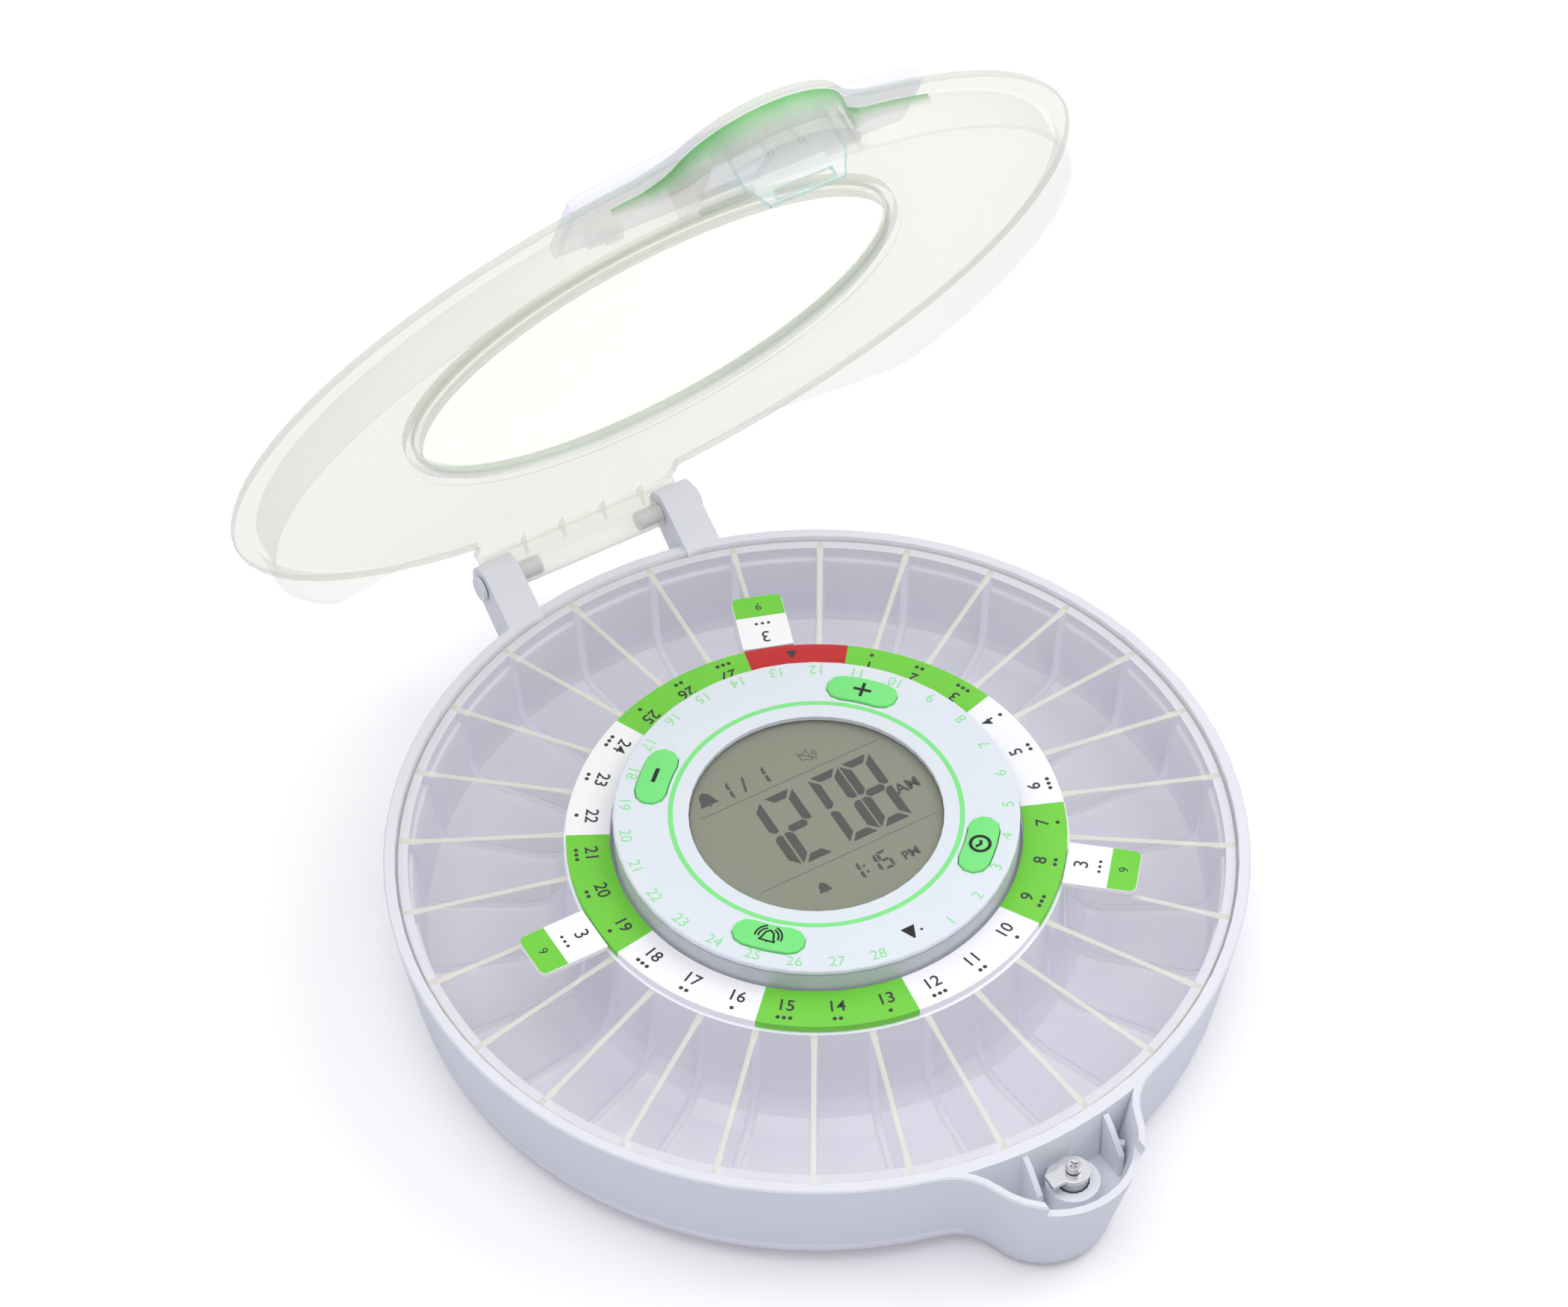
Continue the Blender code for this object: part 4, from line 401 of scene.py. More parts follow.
# Its rounded rim: denser, and painted a pale grey green line as painted shade
PANE_CLEAR_EDGE_SHADED = Finish(
    "pane_polished_clear_edge_painted_shade", "clear_pane", "D8E2DA", "CFDAD2", 0.03, 0.1, 0.05, alpha=0.4
)
# Latch tongue: clear moulded polycarbonate, glossy and bluish
LATCH_CLEAR = Finish("latch_clear", "clear_latch", "F8FCFE", "F2F9FC", 0.02, 0.08, 0.05, alpha=0.26)
# Its eased edges: they gather light and show teal
LATCH_CLEAR_EDGE = Finish("latch_clear_edge", "clear_latch", "A9DACF", "BFE4DE", 0.02, 0.1, 0.05, alpha=0.7)
# Soft green plastic of the band on the wall of the lug cap: strong at the plate, fading below it
GREEN_BAND = FadingFinish(
    "green_soft_plastic", "green_insert", "6CCB6E", "62C465", 0.01, 0.3, 0.08, alpha=0.8
)
# Printed card of the dial ring and its tabs: flat sheen with a faint fibre, in three print colours
CARD_WHITE = Finish("card_white", "paper_ring", "FBFBFE", "F6F6FA", 0.01, 0.42, 0.1, 0.0002, 3e-6)
CARD_GREEN = Finish("card_green", "paper_ring", "74D23E", "6DCB38", 0.01, 0.42, 0.1, 0.0002, 3e-6)
CARD_RED = Finish("card_red", "paper_ring", "C62024", "BC1B20", 0.01, 0.42, 0.1, 0.0002, 3e-6)
# Printed inks: not quite even, so they don't look cut out
INK_DARK = Finish("ink_dark", "black_plastic", "2C2C30", "3A3A3E", 0.002, 0.45, 0.1, 0.0002, 1e-6)
INK_BLACK = Finish("ink_black", "black_plastic", "040506", "0C0D0E", 0.002, 0.35, 0.1, 0.0002, 1e-6)
INK_MINT = Finish("ink_mint", "mint_button", "90E09A", "9CE6A4", 0.002, 0.4, 0.1, 0.0002, 1e-6)
INK_GREEN = Finish("ink_green", "mint_button", "7EE487", "86E88E", 0.004, 0.4, 0.1, 0.0002, 1e-6)
# Liquid crystal display: dark segments, thinner grey lines, the olive ground, and clear acrylic over them
LCD_SEGMENT = Finish("lcd_segment", "black_plastic", "1E1E20", "26262A", 0.003, 0.5, 0.05, 0.0003, 0.0)
LCD_THIN = Finish("lcd_thin", "lcd_grey", "4E4F48", "55564F", 0.003, 0.5, 0.05, 0.0003, 0.0)
LCD_GROUND = Finish("lcd_ground", "lcd_grey", "868879", "80826F", 0.02, 0.32, 0.06, 0.0004, 2e-6)
LCD_GLASS = Finish("lcd_glass", "clear_glass", "F4F6F0", "F0F3EE", 0.02, 0.03, 0.03, alpha=0.04)
# Face disc: bluish white, silk gloss
FACE_WHITE = Finish("face_white", "white_face", "E3E9F2", "DEE5EF", 0.02, 0.28, 0.06, 0.0006, 2e-6)
# Module side: satin moulded ABS, silver grey
MODULE_GREY = Finish("module_grey", "grey_body", "C2C4CC", "B9BBC4", 0.02, 0.3, 0.1, 0.0004, 3e-6)
# Soft key pads of silicone: matt mint
KEY_SILICONE = Finish(
    "key_silicone", "mint_button", "7DE984", "76E27D", 0.006, 0.5, 0.1, 0.0003, 4e-6, under=0.1
)
# Metals: bright nickel chrome on the cam, duller steel on its screw, and zinc on pins, screws and strips
CHROME = Finish("nickel_chrome", "chrome_steel", "E2E2E4", "D6D7DA", 0.004, 0.14, 0.12, 0.0003, 3e-6, 1.0)
SCREW_STEEL = Finish("screw_steel", "chrome_steel", "C6C8CC", "B6B8BC", 0.003, 0.28, 0.16, 0.0002, 4e-6, 1.0)
ZINC = Finish("bright_zinc", "zinc_steel", "C2C4C8", "B2B5BA", 0.003, 0.3, 0.16, 0.0002, 4e-6, 1.0)
# Hidden parts: moulded nylon, rubber, board laminate, and the cells' printed film and bare steel
NYLON = Finish("natural_nylon", "nylon_gear", "EBE7DA", "E2DECF", 0.004, 0.42, 0.1, 0.0004, 4e-6, under=0.1)
RUBBER = Finish("black_rubber_matt", "black_rubber", "1E1E20", "2A2A2C", 0.003, 0.7, 0.15, 0.0003, 12e-6)
BLACK_NYLON = Finish("black_glass_nylon", "black_plastic", "1C1C1E", "26262A", 0.006, 0.4, 0.15, 0.0004, 8e-6)
BOARD = BoardFinish("board_laminate", "pcb_green", "145A34", "1A6A3E", 0.004, 0.3, 0.15, 0.0006, 8e-6)
CELL_WRAP = Finish("cell_wrap_film", "cell_wrap", "2B4E9C", "24458C", 0.02, 0.2, 0.1, 0.0008, 4e-6)
CELL_STEEL = Finish("cell_steel", "zinc_steel", "CDCFD2", "BFC2C6", 0.003, 0.22, 0.14, 0.0002, 3e-6, 1.0)


def eased(
    corners: Sequence[Sequence[float]], radius: float, steps: int, closed: bool = True
) -> np.ndarray:
    """Rounds the corners of a line of points.

    Each corner C between A and B gives way to (1-t)^2 P + 2t(1-t) C + t^2 Q, with P and Q at the
    radius along the sides to A and B, or at 0.45 of a shorter side.

    Args:
        corners: Points of the line.
        radius: How far from each corner the curve starts.
        steps: Steps on each curve.
        closed: Whether the line is closed.

    Returns:
        Points of the rounded line.
    """
    points = np.array(corners, float)
    before = np.roll(points, 1, 0) - points
    after = np.roll(points, -1, 0) - points
    long_before = np.linalg.norm(before, axis=1, keepdims=True)
    long_after = np.linalg.norm(after, axis=1, keepdims=True)
    start = points + before / long_before * np.minimum(radius, 0.45 * long_before)
    end = points + after / long_after * np.minimum(radius, 0.45 * long_after)
    t = np.linspace(0.0, 1.0, steps + 1)[None, :, None]
    curve = (1 - t) ** 2 * start[:, None] + 2 * t * (1 - t) * points[:, None] + t**2 * end[:, None]
    if closed:
        return curve.reshape(-1, points.shape[1])
    middle = curve[1:-1].reshape(-1, points.shape[1])
    return np.concatenate([points[:1], middle, points[-1:]])


def grid_faces(rows: int, columns: int, wrap_rows: bool, wrap_columns: bool) -> np.ndarray:
    """Lists the quads of a grid of points.

    Args:
        rows: Number of rows.
        columns: Number of points in a row.
        wrap_rows: Whether the last row joins the first.
        wrap_columns: Whether each row is closed.

    Returns:
        Four point numbers for each quad, row by row.
    """
    row = np.arange(rows if wrap_rows else rows - 1)
    column = np.arange(columns if wrap_columns else columns - 1)
    a, b = np.meshgrid(row, column, indexing="ij")
    c = (a + 1) % rows
    d = (b + 1) % columns
    corners = [a * columns + b, c * columns + b, c * columns + d, a * columns + d]
    return np.stack(corners, -1).reshape(-1, 4)


def face_values(mesh: Mesh, key: str) -> np.ndarray:
    """Reads one vector of each face.

    Args:
        mesh: The mesh.
        key: Which vector: center or normal.

    Returns:
        A row for each face.
    """
    values = np.zeros(len(mesh.polygons) * 3)
    mesh.polygons.foreach_get(key, values)
    return values.reshape(-1, 3)


def mark_faces(mesh: Mesh, marks: np.ndarray) -> None:
    """Gives each face of a mesh its material number."""
    mesh.polygons.foreach_set("material_index", np.asarray(marks, np.int32))


def make_mesh(name: str, points: np.ndarray, faces: list, marks: np.ndarray | None = None) -> Mesh:
    """Makes a mesh with its normals outward.

    Args:
        name: Name of the mesh.
        points: Places of the vertices.
        faces: Vertex numbers of each face.
        marks: Material number of each face.

    Returns:
        The mesh, smooth between its creases.
    """
    mesh = bpy.data.meshes.new(name)
    mesh.from_pydata(points.tolist(), [], faces)
    if marks is not None:
        mark_faces(mesh, marks)
    shape = bmesh.new()
    shape.from_mesh(mesh)
    bmesh.ops.remove_doubles(shape, verts=shape.verts, dist=MERGE / 10.0)
    bmesh.ops.recalc_face_normals(shape, faces=shape.faces)
    shape.to_mesh(mesh)
    shape.free()
    mesh.shade_smooth()
    mesh.set_sharp_from_angle(angle=CREASE)
    return mesh


def turned_points(profile: np.ndarray, steps: int, start: float = 0.0) -> np.ndarray:
    """Turns a profile of radius and height about the Z axis.

    A point is (r cos a, r sin a, z), for a over one turn.

    Args:
        profile: Radius and height of each profile point.
        steps: Steps round the axis.
        start: First angle, in radians.

    Returns:
        Points, one turned profile after the other.
    """
    angle = start + np.arange(steps)[:, None] * math.tau / steps
    x = profile[:, 0] * np.cos(angle)
    y = profile[:, 0] * np.sin(angle)
    return np.stack([x, y, np.broadcast_to(profile[:, 1], x.shape)], -1).reshape(-1, 3)


def turned_mesh(
    name: str, profile: np.ndarray, steps: int, centre: Sequence[float] = (0.0, 0.0)
) -> Mesh:
    """Turns a profile of radius and height about a vertical axis.

    Args:
        name: Name of the mesh.
        profile: Profile points, closed or starting and ending on the axis.
        steps: Steps round the axis.
        centre: X and Y of the axis.

    Returns:
        The mesh.
    """
    points = turned_points(profile, steps) + (*centre, 0.0)
    closed = bool(profile[0, 0] > MERGE)
    return make_mesh(name, points, grid_faces(steps, len(profile), True, closed).tolist())


def disc_mesh(
    name: str,
    heights: Sequence[float],
    radius: float,
    bevel: Sequence[float],
    rounding: tuple[float, int],
    steps: int,
) -> Mesh:
    """Turns a disc with a bevel round its upper edge.

    Args:
        name: Name of the mesh.
        heights: Height of its underside and of its top.
        radius: Its radius.
        bevel: Width and drop of the bevel.
        rounding: Radius and steps of the rounded corners of its profile.
        steps: Steps round the disc.

    Returns:
        The mesh.
    """
    low, high = heights
    width, drop = bevel
    corners = [(0.0, low), (radius, low), (radius, high - drop), (radius - width, high), (0.0, high)]
    return turned_mesh(name, eased(corners, *rounding, False), steps)


def stroke(points: Sequence[Sequence[float]], width: float) -> np.ndarray:
    """Gives a line of points a width, with mitred corners.

    At a corner between sides with normals m and n, the rails lie at width / (1 + m . n) along m + n
    to either side.

    Args:
        points: Plan points of a line, closed where the last is the first again.
        width: Width of the line.

    Returns:
        The two rails of the line.
    """
    line = np.asarray(points, float)
    along = np.diff(line, axis=0)
    along /= np.linalg.norm(along, axis=1, keepdims=True)
    normal = np.column_stack([-along[:, 1], along[:, 0]])
    closed = np.linalg.norm(line[0] - line[-1]) < MERGE
    before = np.concatenate([normal[-1:] if closed else normal[:1], normal])
    after = np.concatenate([normal, normal[:1] if closed else normal[-1:]])
    share = np.maximum(1.0 + (before * after).sum(1, keepdims=True), 0.5)
    across = (before + after) / share * width / 2.0
    return np.stack([line + across, line - across])


def arc_points(
    radius: float, start: float, end: float, steps: int, centre: Sequence[float] = (0.0, 0.0)
) -> np.ndarray:
    """Lists plan points of an arc.

    Args:
        radius: Radius of the arc.
        start: First angle in degrees.
        end: Last angle in degrees.
        steps: Steps on the arc.
        centre: Centre of the arc.

    Returns:
        Plan points.
    """
    angle = np.radians(np.linspace(start, end, steps + 1))
    return np.column_stack([centre[0] + radius * np.cos(angle), centre[1] + radius * np.sin(angle)])


def heading(vector: np.ndarray) -> float:
    """Finds the direction of a plan vector, in degrees."""
    return math.degrees(math.atan2(vector[1], vector[0]))


def short_arc(
    middle: np.ndarray, radius: float, start: np.ndarray, end: np.ndarray, steps: int
) -> np.ndarray:
    """Lists plan points of the shorter arc between two directions.

    Args:
        middle: Middle of the arc.
        radius: Radius of the arc.
        start: Vector toward its first point.
        end: Vector toward its last point.
        steps: Steps on the arc.

    Returns:
        Plan points.
    """
    first = heading(start)
    turn = (heading(end) - first + 180.0) % 360.0 - 180.0
    return arc_points(radius, first, first + turn, steps, middle)


def dial_turn(angle: float) -> float:
    """Finds the turn, in degrees, that points the top of a mark at this angle at the dial's middle."""
    return angle + 90.0


def moved(shape: np.ndarray, turn: float, place: Sequence[float]) -> np.ndarray:
    """Turns and shifts plan points.

    Args:
        shape: Plan points about their own middle.
        turn: Turn in degrees.
        place: Where the middle goes.

    Returns:
        Plan points in place.
    """
    angle = math.radians(turn)
    matrix = np.array([[math.cos(angle), math.sin(angle)], [-math.sin(angle), math.cos(angle)]])
    return np.asarray(shape) @ matrix + np.asarray(place)


def on_dial(radius: float, angle: float) -> np.ndarray:
    """Finds X and Y on the dial from the distance to its middle and the angle in degrees."""
    turn = math.radians(angle)
    return np.array([radius * math.cos(turn), radius * math.sin(turn)])


def place_piece(
    name: str, mesh: Mesh, finishes: Sequence[Finish], body: Body, nodes: Sequence[str] = ()
) -> Object:
    """Puts a finished piece on its body.

    Args:
        name: Name of the piece.
        mesh: Its mesh, in place.
        finishes: Its finishes, in the order of its material numbers.
        body: Body that it rides on.
        nodes: CAD nodes that it stands for.

    Returns:
        The piece.
    """
    item = bpy.data.objects.new(name, mesh)
    bpy.context.scene.collection.objects.link(item)
    for finish in finishes:
        mesh.materials.append(finish.material())
    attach(item, body.value)
    if nodes:
        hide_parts(*nodes)
    LOG.info("%s: %d faces on %s", name, len(mesh.polygons), body.value)
    return item


def refine(
    node: str, finish: Finish, edge: float, segments: int = 2, rim: Finish | None = None
) -> Object:
    """Stands a joined copy of a CAD node, with its edges eased, in its place.

    Args:
        node: Name of the CAD node.
        finish: Finish of the piece.
        edge: Width of the eased edges.
        segments: Segments on each eased edge.
        rim: Finish of the eased edges, where it differs.

    Returns:
        The piece, on the body of the node.
    """
    source = frame["nodes"][node]
    name = f"{node}_finished"
    mesh = source.data.copy()
    mesh.name = name
    shape = bmesh.new()
    shape.from_mesh(mesh)
    bmesh.ops.remove_doubles(shape, verts=shape.verts, dist=MERGE)
    bmesh.ops.dissolve_limit(shape, angle_limit=FLAT, verts=shape.verts, edges=shape.edges)
    bmesh.ops.recalc_face_normals(shape, faces=shape.faces)
    shape.to_mesh(mesh)
    shape.free()
    mesh.materials.clear()
    mesh.shade_smooth()
    finishes = [finish] if rim is None else [finish, rim]
    item = place_piece(name, mesh, finishes, Body(source["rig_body"]), [node])
    ease = item.modifiers.new("eased_edges", "BEVEL")
    ease.width = edge
    ease.segments = segments
    ease.limit_method = "ANGLE"
    ease.angle_limit = CREASE
    ease.harden_normals = False
    ease.use_clamp_overlap = True
    if rim is not None:
        ease.material = 1
    mesh.set_sharp_from_angle(angle=SHARP)
    return item


def refine_all(rows: Sequence[tuple]) -> None:
    """Refines CAD nodes, each by its row of name, finish, edge width and, past 2, edge segments."""
    for row in rows:
        refine(*row)


def print_shapes(name: str, shapes: Sequence[np.ndarray], level: float, finish: Finish, body: Body) -> None:
    """Prints flat shapes as thin upright solids in one piece.

    Args:
        name: Name of the piece.
        shapes: Plan points of each shape: one outline, or the two rails of a strip.
        level: Height of the surface that they are printed on.
        finish: Ink.
        body: Body that it rides on.
    """
    points, faces, start = [], [], 0
    for shape in shapes:
        rails = np.asarray(shape, float)
        if rails.ndim == 2:
            count = len(rails)
            tops = [np.arange(count)]
            rims = np.stack([np.arange(count), (np.arange(count) + 1) % count], -1)
        else:
            count = rails.shape[1]
            step = np.arange(count - 1)
            tops = np.stack([step, step + 1, step + 1 + count, step + count], -1)
            rims = np.stack([step, step + 1], -1)
            rims = np.concatenate([rims, rims + count])
            if np.linalg.norm(rails[0, 0] - rails[0, -1]) > MERGE:
                rims = np.concatenate([rims, [(0, count), (count - 1, 2 * count - 1)]])
        plan = rails.reshape(-1, 2)
        size = len(plan)
        for height in (level, level + PRINT_THICKNESS):
            points.append(np.column_stack([plan, np.full(size, height)]))
        for top in tops:
            faces.append((top + start + size).tolist())
            faces.append((top + start)[::-1].tolist())
        sides = np.stack([rims[:, 0], rims[:, 1], rims[:, 1] + size, rims[:, 0] + size], -1) + start
        faces.extend(sides.tolist())
        start += 2 * size
    place_piece(name, make_mesh(name, np.concatenate(points), faces), [finish], body)


@dataclass(frozen=True)
class Caption:
    """One short printed text.

    Attributes:
        text: What it says.
        size: Size of the letters.
        place: X and Y of its middle.
        turn: Turn in degrees.
        weight: How far the outline of each letter is moved outward.
    """

    text: str
    size: float
    place: tuple[float, float]
    turn: float = 0.0
    weight: float = 0.0


def print_captions(name: str, captions: Sequence[Caption], level: float, finish: Finish, body: Body) -> None:
    """Prints captions as one thin piece.

    Args:
        name: Name of the piece.
        captions: The texts.
        level: Height of the surface that they are printed on.
        finish: Ink.
        body: Body that it rides on.
    """
    joined = bmesh.new()
    for caption in captions:
        curve = bpy.data.curves.new(name, "FONT")
        curve.body = caption.text
        curve.size = caption.size
        curve.offset = caption.weight
        curve.align_x = "CENTER"
        curve.align_y = "CENTER"
        curve.resolution_u = 4
        curve.extrude = PRINT_THICKNESS / 2.0
        item = bpy.data.objects.new(name, curve)
        bpy.context.scene.collection.objects.link(item)
        graph = bpy.context.evaluated_depsgraph_get()
        flat = bpy.data.meshes.new_from_object(item.evaluated_get(graph))
        place = Matrix.Translation((*caption.place, level + PRINT_THICKNESS / 2.0))
        flat.transform(place @ Matrix.Rotation(math.radians(caption.turn), 4, "Z"))
        joined.from_mesh(flat)
        bpy.data.objects.remove(item)
        bpy.data.curves.remove(curve)
        bpy.data.meshes.remove(flat)
    mesh = bpy.data.meshes.new(name)
    joined.to_mesh(mesh)
    joined.free()
    place_piece(name, mesh, [finish], body)


@dataclass(frozen=True)
class BaseShell:
    """Base with its lug, feet, battery door, hinge pins and lock.

    Attributes:
        shell_edge: Width of the eased edges of the shell.
        others: Rows for the pieces that only need their edges eased.
        foot_radius: Radius of a foot.
        foot_low: Height of the underside of a foot.
        foot_bevel: Size of the bevel round the underside of a foot.
        foot_easing: Radius of the eased corners of a foot's section.
        foot_steps: Steps round a foot.
        groove: Share of the radius and depth at each corner of the ring groove under a foot.
        well_radius: Outer radius of the well under the tray.
        well_floor: Height of its floor.
        well_brim: Height of its brim.
    """

    shell_edge: float = 0.00035
    others: tuple = (
        ("battery_door", LILAC_ABS, 0.0002),
        ("hinge_pin_left", LILAC_ABS, 0.0002),
        ("hinge_pin_right", LILAC_ABS, 0.0002),
        ("lock_barrel", ZINC, 0.0003, 3),
        ("lock_cam", CHROME, 0.00028, 3),
        ("cam_screw", SCREW_STEEL, 0.0001),
    )
    foot_radius: float = 0.0060
    foot_low: float = -0.0012
    foot_bevel: float = 0.0006
    foot_easing: float = 0.00012
    foot_steps: int = 40
    groove: tuple = ((0.55, 0.0), (0.58, 0.0003), (0.66, 0.0003), (0.69, 0.0))
    well_radius: float = 0.1004
    well_floor: float = 0.0029
    well_brim: float = 0.0322

    def build(self) -> None:
        """Makes the pieces of the base."""
        shell = refine("base_shell", LILAC_ABS, self.shell_edge, 3)
        self.polish_well(shell.data)
        refine_all(self.others)
        self.build_feet()

    def polish_well(self, mesh: Mesh) -> None:
        """Gives the faces of the well under the tray their glossier finish, painted lighter as painted light
        against the shade there.

        A face is in the well if its middle is inside the well's radius, above its floor and below
        its brim.

        Args:
            mesh: Mesh of the base.
        """
        # Painted light: the well's faces take the lighter, glossier copy of the base's finish
        mesh.materials.append(LILAC_ABS_WELL_PAINTED_LIGHT.material())
        x, y, z = face_values(mesh, "center").T
        inside = (np.hypot(x, y) < self.well_radius) & (z > self.well_floor) & (z < self.well_brim)
        mark_faces(mesh, inside)

    def build_feet(self) -> None:
        """Makes the rubber feet, each turned with a ring groove underneath."""
        r, base, bevel = self.foot_radius, self.foot_low, self.foot_bevel
        groove = [(r * share, base + depth) for share, depth in self.groove]
        for number in range(1, 5):
            node = f"foot_{number}"
            low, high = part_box(node)
            middle = (low + high) / 2.0
            profile = [(0.0, base), *groove, (r - bevel, base), (r, base + bevel), (r, high.z), (0.0, high.z)]
            line = eased(profile, radius=self.foot_easing, steps=2, closed=False)
            mesh = turned_mesh(node, line, self.foot_steps, (middle.x, middle.y))
            place_piece(f"{node}_finished", mesh, [RUBBER], Body.BASE, [node])


@dataclass(frozen=True)
class Power:
    """Cells, contacts, gearmotor and gears under the tray.

    Attributes:
        others: Rows for the pieces that only need their edges eased.
        cell_radius: Radius of a cell.
        cell_half: Half of its length without the nub.
        nub_radius: Radius of its nub.
        nub: Height of the nub.
        wrap: Thickness of the wrap where it folds over the ends.
        flat_share: Share of the radius where the flat end stops.
        fold_share: Share of the radius where the wrap is half folded over that end.
        shoulder_share: Share of the radius where the end with the nub stops.
        bare_share: Share of the radius inside which the ends are bare steel.
        bare_depth: Depth from the ends to which the steel is bare.
        easing: Radius of the eased corners of a cell's section.
        steps: Steps round a cell.
    """

    others: tuple = (
        ("battery_contacts_front", ZINC, 0.00012),
        ("battery_contacts_rear", ZINC, 0.00012),
        ("gearmotor", BLACK_NYLON, 0.0004),
        ("drive_pinion", NYLON, 0.00015),
        ("tray_gear_ring", NYLON, 0.00015),
    )
    cell_radius: float = 0.00725
    cell_half: float = 0.0246
    nub_radius: float = 0.0027
    nub: float = 0.0006
    wrap: float = 0.0004
    flat_share: float = 0.82
    fold_share: float = 0.86
    shoulder_share: float = 0.8
    bare_share: float = 0.84
    bare_depth: float = 0.0003
    easing: float = 0.0004
    steps: int = 48

    def build(self) -> None:
        """Makes the pieces."""
        for number in range(1, 5):
            self.build_cell(number)
        refine_all(self.others)

    def build_cell(self, number: int) -> None:
        """Makes one cell: a shrunk wrap over the can, with the steel ends bare.

        A point is (x + r cos a, y, z + r sin a) along the profile of r and y.

        Args:
            number: Number of the cell. The even ones lie the other way round.
        """
        node = f"battery_{number}"
        low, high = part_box(node)
        middle = (low + high) / 2.0
        way = 1.0 if number % 2 == 1 else -1.0
        r, half, wrap = self.cell_radius, self.cell_half, self.wrap
        corners = [
            (0.0, -half),
            (r * self.flat_share, -half),
            (r * self.fold_share, -half + wrap / 2.0),
            (r, -half + wrap),
            (r, half - wrap),
            (r * self.shoulder_share, half),
            (self.nub_radius, half),
            (self.nub_radius, half + self.nub),
            (0.0, half + self.nub),
        ]
        profile = eased(corners, radius=self.easing, steps=3, closed=False)
        spun = turned_points(profile, self.steps)[:, [0, 2, 1]]
        faces = grid_faces(self.steps, len(profile), True, False)
        reach = np.hypot(spun[faces, 0], spun[faces, 2]).mean(1)
        at_end = np.abs(spun[faces, 1].mean(1)) > half - self.bare_depth
        bare = at_end & (reach < r * self.bare_share)
        points = spun * (1.0, way, 1.0) + (middle.x, 0.0, middle.z)
        mesh = make_mesh(node, points, faces.tolist(), bare)
        place_piece(f"{node}_finished", mesh, [CELL_WRAP, CELL_STEEL], Body.BASE, [node])


